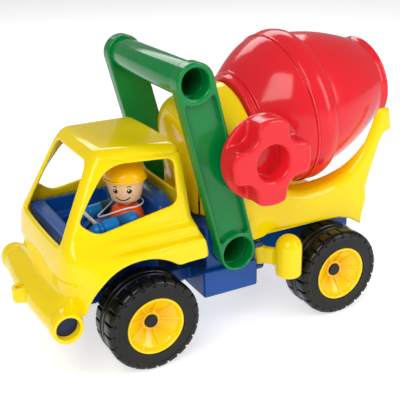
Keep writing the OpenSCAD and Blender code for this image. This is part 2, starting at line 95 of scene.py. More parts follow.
def place_camera():
    """Puts the camera CAMERA_AWAY from AIM and rolls it about its line of sight."""
    ce, se, ca, sa = math.cos(ELEVATION), math.sin(ELEVATION), math.cos(AZIMUTH), math.sin(AZIMUTH)
    back = np.array([sa * ce, -ca * ce, se])
    right = np.array([ca, sa, 0.0])
    up = np.cross(back, right)
    side = math.cos(ROLL) * right + math.sin(ROLL) * up
    top = math.cos(ROLL) * up - math.sin(ROLL) * right
    camera = bpy.data.objects.new("camera", bpy.data.cameras.new("camera"))
    bpy.context.scene.collection.objects.link(camera)
    eye = AIM + back * CAMERA_AWAY
    camera.matrix_world = Matrix([[side[i], top[i], back[i], eye[i]] for i in range(3)] + [[0, 0, 0, 1]])
    camera.data.sensor_width, camera.data.lens = 36.0, 70.03
    camera.data.clip_start, camera.data.clip_end = 0.01, 50.0
    bpy.context.scene.camera = camera
    return eye


print("camera at", place_camera().round(3))

# %% Lights, sky and colour
def soft_box(name, place, aim, size, watts):
    """A rectangular area light at place, facing aim."""
    light = bpy.data.lights.new(name, "AREA")
    light.shape, light.size, light.size_y, light.energy = "RECTANGLE", *size, watts
    lamp = bpy.data.objects.new(name, light)
    back = np.array(place, float) - np.array(aim, float)
    back /= np.linalg.norm(back)
    right = np.cross((0, 0, 1), back)
    right /= np.linalg.norm(right)
    up = np.cross(back, right)
    lamp.matrix_world = Matrix([[right[i], up[i], back[i], place[i]] for i in range(3)] + [[0, 0, 0, 1]])
    bpy.context.scene.collection.objects.link(lamp)


MIDDLE = (0.0, 0.0, 0.09)
soft_box("key_box", (-0.75, -0.75, 1.05), MIDDLE, (0.7, 0.9), 10.5)
soft_box("side_box", (0.75, -1.0, 0.65), MIDDLE, (0.45, 1.0), 6.0)
soft_box("back_box", (0.35, 1.1, 1.0), MIDDLE, (1.2, 0.5), 7.0)

sky = bpy.data.worlds.new("sky")
bpy.context.scene.world = sky
sky.use_nodes = True
sky.node_tree.nodes["Background"].inputs["Color"].default_value = (0.97, 0.98, 1.0, 1.0)
sky.node_tree.nodes["Background"].inputs["Strength"].default_value = 0.30
bpy.context.scene.view_settings.view_transform = "Standard"

# %% [markdown]
# ## Shader maths in plain Python
# A material is a small program of nodes. Wrapping a socket in a class lets us write 1 - mask instead of
# adding and linking a Math node by hand, so that the recipe for each plastic stays readable.

# %% The socket wrapper and the node maker
class Wire:
    """A number that varies over the surface. Arithmetic on it adds Math nodes."""

    def __init__(self, shader, socket):
        self.shader, self.socket = shader, socket

    def maths(self, operation, *others):
        sockets = {0: self, **dict(enumerate(others, 1))}
        node = self.shader.node("ShaderNodeMath", {"operation": operation}, sockets)
        return Wire(self.shader, node.outputs[0])

    def __add__(self, other):
        return self.maths("ADD", other)

    def __radd__(self, other):
        return self + other

    def __sub__(self, other):
        return self.maths("SUBTRACT", other)

    def __rsub__(self, other):
        return self * -1 + other

    def __mul__(self, other):
        return self.maths("MULTIPLY", other)

    def __rmul__(self, other):
        return self * other

    def __truediv__(self, other):
        return self.maths("DIVIDE", other)

    def __pow__(self, other):
        return self.maths("POWER", other)

    def high(self, other):
        return self.maths("MAXIMUM", other)

    def low(self, other):
        return self.maths("MINIMUM", other)

    def size(self):
        return self.maths("ABSOLUTE")

    def step(self, start, end):
        """0 before start and 1 after end, with a smooth rise between them."""
        node = self.shader.node("ShaderNodeMapRange", {"interpolation_type": "SMOOTHSTEP"},
                                {"Value": self, "From Min": start, "From Max": end})
        return Wire(self.shader, node.outputs[0])


class Shader:
    """A material and the means to add nodes to it."""

    def __init__(self, name):
        self.material = bpy.data.materials.new(name)
        self.material.use_nodes = True
        self.tree = self.material.node_tree
        self.surface = self.tree.nodes["Principled BSDF"]

    def node(self, kind, settings, sockets):
        made = self.tree.nodes.new(kind)
        for key, value in settings.items():
            setattr(made, key, value)
        for key, value in sockets.items():
            self.feed(made.inputs[key], value)
        return made

    def feed(self, socket, value):
        if isinstance(value, Wire):
            value = value.socket
        if isinstance(value, bpy.types.NodeSocket):
            self.tree.links.new(value, socket)
        else:
            socket.default_value = value

    def set(self, **values):
        for key, value in values.items():
            self.feed(self.surface.inputs[key.replace("_", " ")], value)

    def place(self, centre=(0.0, 0.0, 0.0)):
        """Object coordinates in metres, counted from centre, as a vector socket and its three numbers."""
        coords = self.node("ShaderNodeTexCoord", {}, {}).outputs["Object"]
        moved = self.node("ShaderNodeVectorMath", {"operation": "SUBTRACT"}, {0: coords, 1: tuple(centre)})
        parts = self.node("ShaderNodeSeparateXYZ", {}, {0: moved.outputs[0]})
        return moved.outputs[0], [Wire(self, parts.outputs[i]) for i in range(3)]

    def noise(self, vector, scale, detail=2.0):
        made = self.node("ShaderNodeTexNoise", {}, {"Vector": vector, "Scale": scale, "Detail": detail})
        return Wire(self, made.outputs[0])

    def mix(self, amount, first, second):
        """The colour first where amount is 0 and second where it is 1."""
        made = self.node("ShaderNodeMix", {"data_type": "RGBA"}, {0: amount, 6: first, 7: second})
        return made.outputs[2]

    def bump(self, height, distance, strength=1.0):
        made = self.node("ShaderNodeBump", {}, {"Height": height, "Distance": distance, "Strength": strength})
        self.set(Normal=made.outputs[0])


print("shader helpers ready")

# %% [markdown]
# ## Gloss plastic
# Moulded plastic is one colour right through, but it never looks flat. The mould's polish leaves a very
# shallow ripple, handling leaves a haze of fine scuffs that dulls the shine in patches, and the pigment
# flows a little unevenly. One recipe makes every colour, so that all the parts belong to one family.

# %% The recipe for all the mouldings
def linear(hex_colour, light=1.0):
    """A web colour as the linear numbers that Blender works in."""
    parts = [int(hex_colour[i:i + 2], 16) / 255 for i in (0, 2, 4)]
    return (*[(c / 12.92 if c <= 0.04045 else ((c + 0.055) / 1.055) ** 2.4) * light for c in parts], 1.0)


def plastic(name, hex_colour, gloss=0.12, flow=0.25, ripple=0.00004, glow=0.0):
    """A moulded plastic. gloss is its roughness where clean, flow how unevenly the pigment lies."""
    sh = Shader(name)
    where, _ = sh.place()
    clouds = sh.noise(where, 22.0, 3.0).step(0.35, 0.75)
    scuffs = sh.noise(where, 900.0, 4.0).step(0.56, 0.74)
    patches = sh.noise(where, 60.0).step(0.45, 0.7)
    sh.set(Base_Color=sh.mix(clouds * flow, linear(hex_colour), linear(hex_colour, 0.8)))
    sh.set(Roughness=gloss + 0.04 * patches + 0.06 * scuffs * patches, Specular_IOR_Level=0.36)
    sh.bump(sh.noise(where, 140.0, 1.0) + 0.15 * sh.noise(where, 1500.0), ripple)
    if glow:
        sh.set(Subsurface_Weight=glow, Subsurface_Radius=(1.0, 0.25, 0.15), Subsurface_Scale=0.002)
    return sh.material


finish = {
    "yellow_plastic": plastic("yellow_plastic", "FFDF00", 0.10),
    "blue_plastic": plastic("blue_plastic", "0A4A9B", 0.22),
    "dark_blue_plastic": plastic("dark_blue_plastic", "0B1E4E", 0.25),
    "green_plastic": plastic("green_plastic", "00803A", 0.12),
    "red_plastic": plastic("red_plastic", "E8232E", 0.13, glow=0.08),
    "white_plastic": plastic("white_plastic", "E8E8E4", 0.3),
    "orange_plastic": plastic("orange_plastic", "FF5A10", 0.3),
    "light_blue_plastic": plastic("light_blue_plastic", "0078C8", 0.25),
    "helmet_plastic": plastic("helmet_plastic", "FFC000", 0.15),
    "black_plastic": plastic("black_plastic", "101010", 0.25),
}
print("plastics:", list(finish))

# %% [markdown]
# ## Rubber-like tyre, steel, and the wheel's two shines
# The tyre is one moulding, but its flat side wall has a satin texture from the mould, while the tread blocks
# are polished. The radius from the axle tells the two apart. The rim's dish gets painted shade: its yellow is
# painted deeper towards orange with the depth below the rim's face, in place of light reflected from wall to
# wall.

# %% Materials that know where they are
def about_axle(sh):
    """Distance from the nearer axle and depth below the wheel's outer face, both in metres."""
    _, (x, y, z) = sh.place((0.0, 0.0, front_axle[2] * MM))
    ahead = x.size() - abs(front_axle[0]) * MM
    return (ahead * ahead + z * z) ** 0.5, 0.065 - y.size()


def tyre_material():
    sh = Shader("tyre_plastic")
    where, _ = sh.place()
    radius, _ = about_axle(sh)
    tread = radius.step(0.0278, 0.0284)
    dust = sh.noise(where, 180.0, 3.0).step(0.4, 0.8)
    sh.set(Base_Color=sh.mix(dust * 0.5, linear("0D0E0D"), linear("171916")))
    sh.set(Roughness=0.46 - 0.28 * tread + 0.06 * dust, Specular_IOR_Level=0.36)
    sh.bump(sh.noise(where, 1800.0, 1.0) * (1 - tread * 0.8), 0.00004)
    return sh.material


def rim_material():
    sh = Shader("rim_plastic")
    where, _ = sh.place()
    radius, depth = about_axle(sh)
    # painted shade: the dish's colour goes from yellow to deep orange with depth below the rim's face
    deep = depth.step(0.0015, 0.011)
    clouds = sh.noise(where, 70.0).step(0.4, 0.7)
    sh.set(Base_Color=sh.mix(deep * 0.5 + clouds * 0.1, linear("FFDA00"), linear("F5A400")))
    sh.set(Roughness=0.14 + 0.08 * clouds)
    sh.bump(sh.noise(where, 300.0), 0.00003)
    return sh.material


def steel_material():
    sh = Shader("steel")
    where, _ = sh.place()
    stains = sh.noise(where, 250.0, 3.0).step(0.4, 0.7)
    sh.set(Base_Color=sh.mix(stains, linear("C9CCCF"), linear("A9ACAF")), Metallic=1.0)
    sh.set(Roughness=0.25 + 0.15 * stains)
    return sh.material


finish["tyre_plastic"] = tyre_material()
finish["rim_plastic"] = rim_material()
finish["steel"] = steel_material()
print("wheel and steel materials ready")

# %% [markdown]
# ## The driver's painted face
# The face is printed on the skin-coloured head: two dark oval eyes with a glint, short brows and a smile that
# is part of a circle. All of it is drawn in the head's own two directions, across the face and up, so that
# the face looks where the head is turned, towards the left window.

# %% Skin with a printed face
FACE_TURN = math.radians(57)
seat_at = centre_mm("driver_helmet")
FACE_Z, EYE_APART, EYE_UP = 0.1158, 0.0046, 0.0015
SMILE_R, SMILE_UP = 0.0061, 0.0008


def skin_material():
    sh = Shader("skin_plastic")
    where, (x, y, z) = sh.place((seat_at[0] * MM, seat_at[1] * MM, FACE_Z))
    front, side = math.cos(FACE_TURN), math.sin(FACE_TURN)
    across = (x * side - y * front)
    ahead = (x * -front - y * side).step(0.0, 0.001)

    def oval(at, up, wide, tall):
        a, b = (across - at) / wide, (z - up) / tall
        return 1 - (a * a + b * b).step(0.8, 1.2)

    eyes = oval(-EYE_APART, EYE_UP, 0.0016, 0.0018).high(oval(EYE_APART, EYE_UP, 0.0016, 0.0018))
    glint = oval(-EYE_APART - 0.0004, EYE_UP + 0.0008, 0.0004, 0.0005)
    glint = glint.high(oval(EYE_APART - 0.0004, EYE_UP + 0.0008, 0.0004, 0.0005))
    brow_up = EYE_UP + 0.0034
    brows = oval(-EYE_APART, brow_up, 0.0017, 0.0004).high(oval(EYE_APART, brow_up, 0.0017, 0.0004))
    drop = z - SMILE_UP
    ring = ((across * across + drop * drop) ** 0.5 - SMILE_R).size()
    smile = (1 - ring.step(0.0003, 0.0006)) * (-1 * drop).step(SMILE_R * 0.60, SMILE_R * 0.66)
    ink = (eyes.high(brows).high(smile) * ahead).low(1.0)
    clouds = sh.noise(where, 80.0)
    skin = sh.mix(clouds * 0.3, linear("F0C79C"), linear("E2B080"))
    printed = sh.mix(ink, skin, linear("2A160C"))
    sh.set(Base_Color=sh.mix(glint * ahead, printed, linear("FFFFFF")))
    sh.set(Roughness=0.28 - 0.1 * ink + 0.08 * clouds)
    sh.bump(sh.noise(where, 300.0), 0.00003)
    return sh.material


finish["skin_plastic"] = skin_material()
print("face turned", round(math.degrees(FACE_TURN)), "degrees to the left")

# %% [markdown]
# ## Shapes from distances
# A moulding has no sharp edges, because plastic can't flow into them. The simplest way to say that is a
# distance function: a number for every point of space, negative inside the shape. Two shapes join with a
# soft minimum, which leaves a fillet, and one is cut from another with a soft maximum, which leaves a round.

# %% Distance functions, in millimetres
TINY = 1e-9


def soft_min(a, b, k):
    """The smaller of a and b, with the corner between them filled over a width of k."""
    h = np.maximum(k - np.abs(a - b), 0) / k
    return np.minimum(a, b) - h * h * k / 4


def soft_max(a, b, k):
    return -soft_min(-a, -b, k)


def ease(value, start, end):
    """0 before start, 1 after end, and a smooth S curve between."""
    t = np.clip((value - start) / (end - start), 0, 1)
    return t * t * (3 - 2 * t)


def slab(flat, across, low, high, edge):
    """A flat shape given thickness from low to high, its edges rounded with radius edge."""
    a = flat + edge
    b = np.abs(across - (low + high) / 2) - (high - low) / 2 + edge
    return np.hypot(np.maximum(a, 0), np.maximum(b, 0)) + np.minimum(np.maximum(a, b), 0) - edge


def plate(u, v, low, high, edge):
    """A flat rectangle from corner low to corner high with corners of radius edge."""
    return slab(np.abs(u - (low[0] + high[0]) / 2) - (high[0] - low[0]) / 2, v, low[1], high[1], edge)


def block(x, y, z, low, high, edge):
    """A box with rounded edges."""
    return slab(plate(x, y, low[:2], high[:2], edge), z, low[2], high[2], edge)


def near_path(u, v, path):
    """Distance to an open path: the least of the distances to its straight parts."""
    nearest = np.inf
    for (au, av), (bu, bv) in zip(path[:-1], path[1:]):
        eu, ev = bu - au, bv - av
        t = np.clip(((u - au) * eu + (v - av) * ev) / max(eu * eu + ev * ev, TINY), 0, 1)
        nearest = np.minimum(nearest, (u - au - eu * t) ** 2 + (v - av - ev * t) ** 2)
    return np.sqrt(nearest)


def outline(u, v, corners):
    """Distance to a closed polygon, negative where a ray crosses it an odd number of times."""
    closed = np.concatenate([corners[-1:], corners])
    inside = False
    for (au, av), (bu, bv) in zip(closed[:-1], closed[1:]):
        inside = inside ^ (((av > v) != (bv > v)) & (u < au + (v - av) * (bu - au) / (bv - av or TINY)))
    return np.where(inside, -1, 1) * near_path(u, v, closed)


def rounded(corners, radius, steps=7):
    """A closed path through corners, each replaced by a curve that starts radius before it."""
    corners = np.asarray(corners, float)
    cut = np.broadcast_to(radius, len(corners))[:, None]
    ends = []
    for way in (1, -1):
        edge = np.roll(corners, way, 0) - corners
        ends.append(corners + edge * np.minimum(cut / np.linalg.norm(edge, axis=1, keepdims=True), 0.49))
    t = np.linspace(0, 1, steps)[None, :, None]
    path = (1 - t) ** 2 * ends[0][:, None] + 2 * t * (1 - t) * corners[:, None] + t ** 2 * ends[1][:, None]
    return path.reshape(-1, 2)


def divided(path, longest):
    """The same path with points added, so that none of its steps is much longer than longest."""
    fine = []
    for start, end in zip(path[:-1], path[1:]):
        parts = max(1, int(np.hypot(*(end - start)) / longest))
        fine.append(start + (end - start) * np.arange(parts)[:, None] / parts)
    return np.concatenate(fine)


print("a soft corner of width 4 adds", round(float(-soft_min(np.float64(0), np.float64(0), 4)), 2), "mm")

# %% [markdown]
# ## From distances to a mesh
# The space round a shape is cut into small cells. A cell that the surface passes through gets one point, in
# the middle of where the surface crosses the cell's edges, and every crossed edge gets a four-sided face
# between the four cells round it. The points are then slid along the slope of the distance until it is zero,
# and the same slope gives exact normals, which is why the highlights come out clean.

# %% Netting a distance function
def slope(field, points, reach=0.05):
    """How fast the distance grows along x, y and z."""
    parts = []
    for axis in range(3):
        step = np.zeros(3)
        step[axis] = reach
        parts.append(field(*(points + step).T) - field(*(points - step).T))
    return np.stack(parts, 1) / (2 * reach)


def net(field, low, high, step):
    """Points, four-sided faces and normals of the surface where field is zero between low and high."""
    step = step * 1.0
    start = np.array(low, float) - 1.5 * step
    counts = np.ceil((np.array(high, float) - start) / step).astype(int) + 3
    grid = np.ix_(*[start[i] + step * np.arange(counts[i]) for i in range(3)])
    value = np.broadcast_to(field(*grid), counts).astype(np.float32)
    cells = tuple(counts - 1)
    total, hits = np.zeros((*cells, 3), np.float32), np.zeros(cells, np.int8)
    crossings = []
    for axis in range(3):
        u, v = (axis + 1) % 3, (axis + 2) % 3
        here = np.moveaxis(value, (axis, u, v), (0, 1, 2))
        first, second = here[:-1], here[1:]
        crossed = (first < 0) != (second < 0)
        share = np.where(crossed, first / np.where(crossed, first - second, 1), 0)
        view_total = np.moveaxis(total, (axis, u, v), (0, 1, 2))
        view_hits = np.moveaxis(hits, (axis, u, v), (0, 1, 2))
        for du in (0, 1):
            for dv in (0, 1):
                part = np.s_[:, du:du + cells[u], dv:dv + cells[v]]
                view_hits[...] += crossed[part]
                view_total[..., axis] += share[part]
                view_total[..., u] += crossed[part] * du
                view_total[..., v] += crossed[part] * dv
        crossings.append((axis, u, v, np.argwhere(crossed), first[crossed] < 0))
    active = hits > 0
    number = np.full(cells, -1)
    number[active] = np.arange(active.sum())
    points = start + step * (np.argwhere(active) + total[active] / hits[active][:, None])
    faces = []
    for axis, u, v, where, outwards in crossings:
        turned = np.moveaxis(number, (axis, u, v), (0, 1, 2))
        i, j, k = where.T
        ring = [turned[i, j - 1, k - 1], turned[i, j, k - 1], turned[i, j, k], turned[i, j - 1, k]]
        quads = np.stack(ring, 1)
        faces.append(np.where(outwards[:, None], quads, quads[:, ::-1]))
    for _ in range(3):
        steep = slope(field, points)
        move = steep * (field(*points.T) / np.maximum((steep ** 2).sum(1), 0.05))[:, None]
        points = points - np.clip(move, -0.5 * step, 0.5 * step)
    return points, [np.concatenate(faces)], slope(field, points)


def spin(loop, at, axis, count=192, push=None):
    """A closed loop of (radius, distance) points turned once round an axis. Where the radius is 0 the
    ring of points shrinks to one, and its faces become triangles. push moves points once they are placed."""
    count = count
    loop, axis = np.asarray(loop, float), np.asarray(axis, float)
    side = np.cross(axis, (0.0, 1.0, 0.0) if abs(axis[1]) < 0.9 else (0.0, 0.0, 1.0))
    side /= np.linalg.norm(side)
    angle = np.linspace(0, 2 * np.pi, count, endpoint=False)
    radius, along = (np.broadcast_to(loop[:, i], (count, len(loop))) for i in (0, 1))
    if push is not None:
        radius, along = push(angle[:, None], radius, along)
    ring = np.cos(angle)[:, None] * side + np.sin(angle)[:, None] * np.cross(axis, side)
    points = np.array(at, float) + ring[:, None] * radius[..., None] + axis * along[..., None]
    index = np.arange(count * len(loop)).reshape(count, -1)
    index[:, loop[:, 0] == 0] = index[0, loop[:, 0] == 0]
    corner = np.roll(index, -1, 0)
    quads = np.stack([index, corner, np.roll(corner, -1, 1), np.roll(index, -1, 1)], -1).reshape(-1, 4)
    same = quads == np.roll(quads, -1, 1)
    drop = np.argmax(same, 1)[:, None]
    triangles = np.take_along_axis(quads, (drop + [1, 2, 3]) % 4, 1)[same.sum(1) == 1]
    kept = [quads[same.sum(1) == 0], triangles]
    used, order = np.unique(np.concatenate([f.ravel() for f in kept]), return_inverse=True)
    cut = kept[0].size
    return points.reshape(-1, 3)[used], [order[:cut].reshape(-1, 4), order[cut:].reshape(-1, 3)], None


def mirrored(made):
    """The same shape on the truck's other side."""
    points, faces, normals = made
    flip = np.array([1.0, -1.0, 1.0])
    return points * flip, [f[:, ::-1] for f in faces], None if normals is None else normals * flip


def piece(name, made, slot, body, *nodes):
    """Adds a finished skin and hides the plain CAD nodes that it stands for."""
    points, faces, normals = made
    faces = [f for f in faces if len(f)]
    a, b, c = (points[faces[0][:, i]] for i in (0, 1, 2))
    if (a * np.cross(b, c)).sum() < 0:
        faces = [f[:, ::-1] for f in faces]
    sizes = np.concatenate([np.full(len(f), f.shape[1]) for f in faces])
    mesh = bpy.data.meshes.new(name)
    mesh.vertices.add(len(points))
    mesh.vertices.foreach_set("co", (points * MM).ravel())
    mesh.loops.add(int(sizes.sum()))
    mesh.loops.foreach_set("vertex_index", np.concatenate([f.ravel() for f in faces]))
    mesh.polygons.add(len(sizes))
    mesh.polygons.foreach_set("loop_start", np.cumsum(sizes) - sizes)
    mesh.polygons.foreach_set("use_smooth", np.ones(len(sizes), bool))
    mesh.update(calc_edges=True)
    if normals is not None:
        mesh.normals_split_custom_set_from_vertices(
            normals / np.maximum(np.linalg.norm(normals, axis=1, keepdims=True), TINY))
    mesh.materials.append(finish[slot])
    skin = bpy.data.objects.new(name, mesh)
    bpy.context.scene.collection.objects.link(skin)
    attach(skin, body)
    if nodes:
        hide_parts(*nodes)
    print(f"{name}: {len(points)} points, {len(sizes)} faces")
    return skin


def cast(name, field, step, slot, body, node):
    """A skin netted within its CAD node's box."""
    return piece(name, net(field, *box_mm(node), step), slot, body, node)


print("netting and spinning ready")

# %% [markdown]
# ## The cab's skin
# The cab is one thin moulding. Its outside is a glasshouse with leaning sides, a windshield and a slightly
# domed roof, set on a lower body whose sides step out twice: a sill, and below it a fender. Towards the nose
# both steps melt into one sloping shoulder. The wall is what lies within 2.6 mm under that outside.

# %% The outside of the cab as a distance
cab_low, cab_high = box_mm("cab_shell")
CAB_WALL = 2.6
NOSE_X, REAR_X = cab_low[0], cab_high[0] - 1.0
ROOF_Z, SILL_Z, FENDER_Z, SKIRT_Z = cab_high[2], 93.5, 86.5, cab_low[2]
FENDER_HALF, SILL_HALF, DOOR_HALF = 60.6, 54.2, 49.4
ARCH_AT, ARCH_R = np.array([front_axle[0] - 6.3, 42.4]), 38.5
DOOR_END = -81.5
NOSE_ROUND, REAR_ROUND, NOSE_BOW, GLASS_BOW = 25.0, 6.0, 1.0, 1.6
GLASS_X, GLASS_Z, GLASS_SLOPE = -129.1, 92.2, (0.891, 0.454)
WAIST_Z, ROOF_MIDDLE, ROOF_FALL, ROOF_CROWN = 92.0, -96.0, 0.03, 0.0008
WALL_LEAN, WALL_TAPER = 7.8, 0.102
GUTTER_DROP, GUTTER_WIDE = 6.6, 0.9


def plan(x, y):
    """The cab seen from above: wide rounds at the nose and small ones at the rear."""
    corner = np.where(x < DOOR_END, NOSE_ROUND, REAR_ROUND)
    bowed = np.where(x < DOOR_END, x - NOSE_BOW * (y / 40) ** 2, x)
    ahead = np.abs(bowed - (NOSE_X + REAR_X) / 2) - (REAR_X - NOSE_X) / 2 + corner
    out = np.abs(y) - FENDER_HALF + corner
    outside = np.hypot(np.maximum(ahead, 0), np.maximum(out, 0))
    return outside + np.minimum(np.maximum(ahead, out), 0) - corner


def nose(x, y, z):
    """Everything behind the upright nose and the leaning windshield, which meet in one soft bend."""
    crown = (y / 40) ** 2
    glass = GLASS_SLOPE[1] * (z - GLASS_Z) - GLASS_SLOPE[0] * (x - GLASS_X) + GLASS_BOW * crown
    return soft_max(glass, NOSE_X - x + NOSE_BOW * crown, 10)


def glasshouse(x, y, z):
    side, rise = np.abs(y), np.clip((z - WAIST_Z) / 56, -0.3, 1.3)
    walls = 0.975 * (side - DOOR_HALF + rise * (WALL_LEAN - WALL_TAPER * (x + 41.5)))
    above = z - ROOF_Z + ROOF_FALL * (x - ROOF_MIDDLE)
    roof = above + ROOF_CROWN * y * y
    rear = 0.997 * (x + 37 + 0.078 * (z - 90))
    gutter = np.exp(-((above + GUTTER_DROP) / GUTTER_WIDE) ** 2) * ease(side, 30, 33) * ease(x, -98, -92)
    cap = soft_max(soft_max(walls, roof, 8) + gutter, soft_max(nose(x, y, z), rear, 5), 7)
    return np.maximum(soft_max(cap, plan(x, y), 6), 74 - z)


def lower_body(x, y, z):
    side = np.abs(y)
    walls = soft_max(plan(x, y), 0.93 * (x + 29.5) + 0.37 * (z - 73), 3)
    fender = soft_max(walls, z - FENDER_Z, 3.6)
    sill = soft_max(soft_max(walls, side - SILL_HALF, 4), z - SILL_Z, 3.4)
    shoulder = 0.76 * (side - 54) + 0.65 * (z - 92)
    front = soft_max(soft_max(soft_max(walls, z - SILL_Z, 9), shoulder, 10), nose(x, y, z), 6)
    front_share = ease(-x, 84, 112)
    return soft_min(fender, sill, 3) * (1 - front_share) + front * front_share


def cab_outside(x, y, z):
    body = soft_min(glasshouse(x, y, z), lower_body(x, y, z), 5)
    arch = np.hypot(x - ARCH_AT[0], z - ARCH_AT[1]) - ARCH_R
    flare = 1.3 * np.exp(-(np.maximum(arch, 0) / 5.0) ** 2) * ease(np.abs(y), 40, 52)
    return body - flare


print("cab from", cab_low.round(1), "to", cab_high.round(1))

# %% [markdown]
# ## Windows, wheel arch and grille
# The openings are flat outlines pushed through the wall. Each outline is drawn once with sharp corners, each
# corner replaced by a curve of its own width. The grille is a lens of
# upright louvres that sink into the nose at both ends. It lies on the nose and on the bumper's fillet.

# %% Cut the cab and net it
SIDE_WINDOW = rounded([[-91.5, 139.6], [-48, 138], [-48, 108.5], [-104.5, 98.3], [-115, 107], [-106, 121]],
                      [12, 6, 6, 6, 3, 9])
WINDSHIELD = rounded([[-37.2, 91.8], [37.2, 91.8], [28.5, 141.5], [-28.5, 141.5]], [3, 3, 7, 7])
REAR_WINDOW = rounded([[-28, 110], [28, 110], [28, 136], [-28, 136]], 7)


def cab_field(x, y, z):
    side = np.abs(y)
    outside = cab_outside(x, y, z)
    wall = np.maximum(outside, -outside - CAB_WALL)
    under = np.maximum(-56 - x, z - 71.5)
    wall = soft_max(wall, SKIRT_Z - z, 1.5)
    wall = soft_max(wall, -under, 1.5)
    wall = soft_max(wall, ARCH_R - np.hypot(x - ARCH_AT[0], z - ARCH_AT[1]), 2.2)
    wall = soft_max(wall, -np.maximum(outline(x, z, SIDE_WINDOW), 20 - side), 2.0)
    wall = soft_max(wall, -np.maximum(outline(y, z, WINDSHIELD), x + 90), 2.0)
    return soft_max(wall, -np.maximum(outline(y, z, REAR_WINDOW), -60 - x), 2.0)


cab = net(cab_field, cab_low - 1.5, cab_high + 1.5, 0.95)
piece("cab_skin", cab, "yellow_plastic", "chassis", "cab_shell")

# %% [markdown]
# ## Bumper
# The bumper is a bowed tube with a slightly thicker cup at each end, melted into the cab's chin. The cup is
# open, and the dark blue plug sits deep inside. A small upright tube in the middle is the tow eye.

# %% Bumper
bumper_low, bumper_high = box_mm("bumper")
BUMPER_HALF, TUBE_R, CUP_R = bumper_high[1], 9.7, 10.3
BUMPER_AT, BUMPER_BOW = np.array([-133.0, 46.6]), 3.0
TOW_X, TOW_R, TOW_HOLE = bumper_low[0] + 5.5, 5.5, 2.7
CHIN_TOP = 71.0


def bumper_field(x, y, z):
    side = np.abs(y)
    bow = BUMPER_BOW * np.clip(1 - (side / 52) ** 2, 0, 1)
    round_it = np.hypot(x - BUMPER_AT[0] + bow, z - BUMPER_AT[1])
    tube = slab(round_it - TUBE_R, y, -BUMPER_HALF + 4, BUMPER_HALF - 4, 1)
    cup = slab(round_it - CUP_R, side, BUMPER_HALF - 9, BUMPER_HALF, 0.9)
    chin = np.maximum(cab_outside(x, y, z) + 0.3, np.maximum(z - CHIN_TOP, 44 - z))
    chin = np.maximum(chin, np.maximum(x + 127, side - 50))
    whole = soft_min(soft_min(tube, cup, 3), chin, 11)
    eye_r = np.hypot(x - TOW_X, y)
    eye = slab(eye_r - TOW_R, z, BUMPER_AT[1] - 5, BUMPER_AT[1] + 5.5, 0.8)
    whole = soft_min(whole, eye, 3)
    whole = soft_max(whole, TOW_HOLE - eye_r, 1.2)
    return soft_max(whole, -np.maximum(round_it - 7.7, BUMPER_HALF - 9 - side), 1.2)


bumper_high[2] = CHIN_TOP
piece("bumper_skin", net(bumper_field, bumper_low, bumper_high, 0.8), "yellow_plastic", "chassis", "bumper")

# %% The grille's louvres
GRILLE_HALF, GRILLE_Z, GRILLE_TALL, LOUVRES = 28.0, 68.0, 19.0, 17


def surface_x(y, z):
    """Where a line along x meets the nose or the fillet above the bumper, found by halving."""
    near, far = np.full_like(y, NOSE_X - 12), np.full_like(y, NOSE_X + 25)
    for _ in range(24):
        middle = (near + far) / 2
        outside = np.minimum(cab_outside(middle, y, z), bumper_field(middle, y, z)) > 0
        near, far = np.where(outside, middle, near), np.where(outside, far, middle)
    return near


def grille():
    """A sheet over the nose, as high as |cos| across and falling to 0 at top and bottom."""
    rows, columns = 80, 520
    across = np.linspace(-GRILLE_HALF, GRILLE_HALF, columns)
    tall = GRILLE_TALL * (0.45 + 0.55 * np.cos(across / GRILLE_HALF * np.pi / 2)) / 2
    up = np.linspace(-1, 1, rows)[:, None]
    y, z = np.broadcast_to(across, (rows, columns)), GRILLE_Z + up * tall
    ridge = np.abs(np.cos(across / GRILLE_HALF * np.pi / 2 * LOUVRES))
    height = 1.3 * ridge * np.sqrt(np.clip(1 - up ** 6, 0, 1)) - 0.5
    front = surface_x(y, z) - height
    back = surface_x(y, z) + 0.8
    points = np.concatenate([np.stack([s, y, z], -1).reshape(-1, 3) for s in (front, back)])
    index = np.arange(rows * columns).reshape(rows, columns)
    quads = np.stack([index[:-1, :-1], index[:-1, 1:], index[1:, 1:], index[1:, :-1]], -1).reshape(-1, 4)
    rim = np.concatenate([index[0], index[1:, -1], index[-1, -2::-1], index[-2:0:-1, 0]])
    after = np.roll(rim, -1)
    side = np.stack([after, rim, rim + rows * columns, after + rows * columns], 1)
    return points, [np.concatenate([quads, quads[:, ::-1] + rows * columns, side])], None


piece("grille", grille(), "yellow_plastic", "chassis")

# %% [markdown]
# ## The blue tub and the chassis
# The tub hangs inside the cab. From the windshield one sees a wide bevelled ledge, then the floor well below
# it, and behind the driver a seat back with soft shoulders. The chassis under it is mostly in shadow, but its
# side box shows between cab and drum, so its edges get the same small rounds.

# %% Tub and chassis
ARM_ROOM = ((-111, 26, 81.5), (-66, 40.4, 99))
TUB_TOP, WELL_FLOOR, WELL_HALF, WELL_SLOPE, SHOULDER_Z = 94.0, 77.0, 39.5, 0.75, 106.0


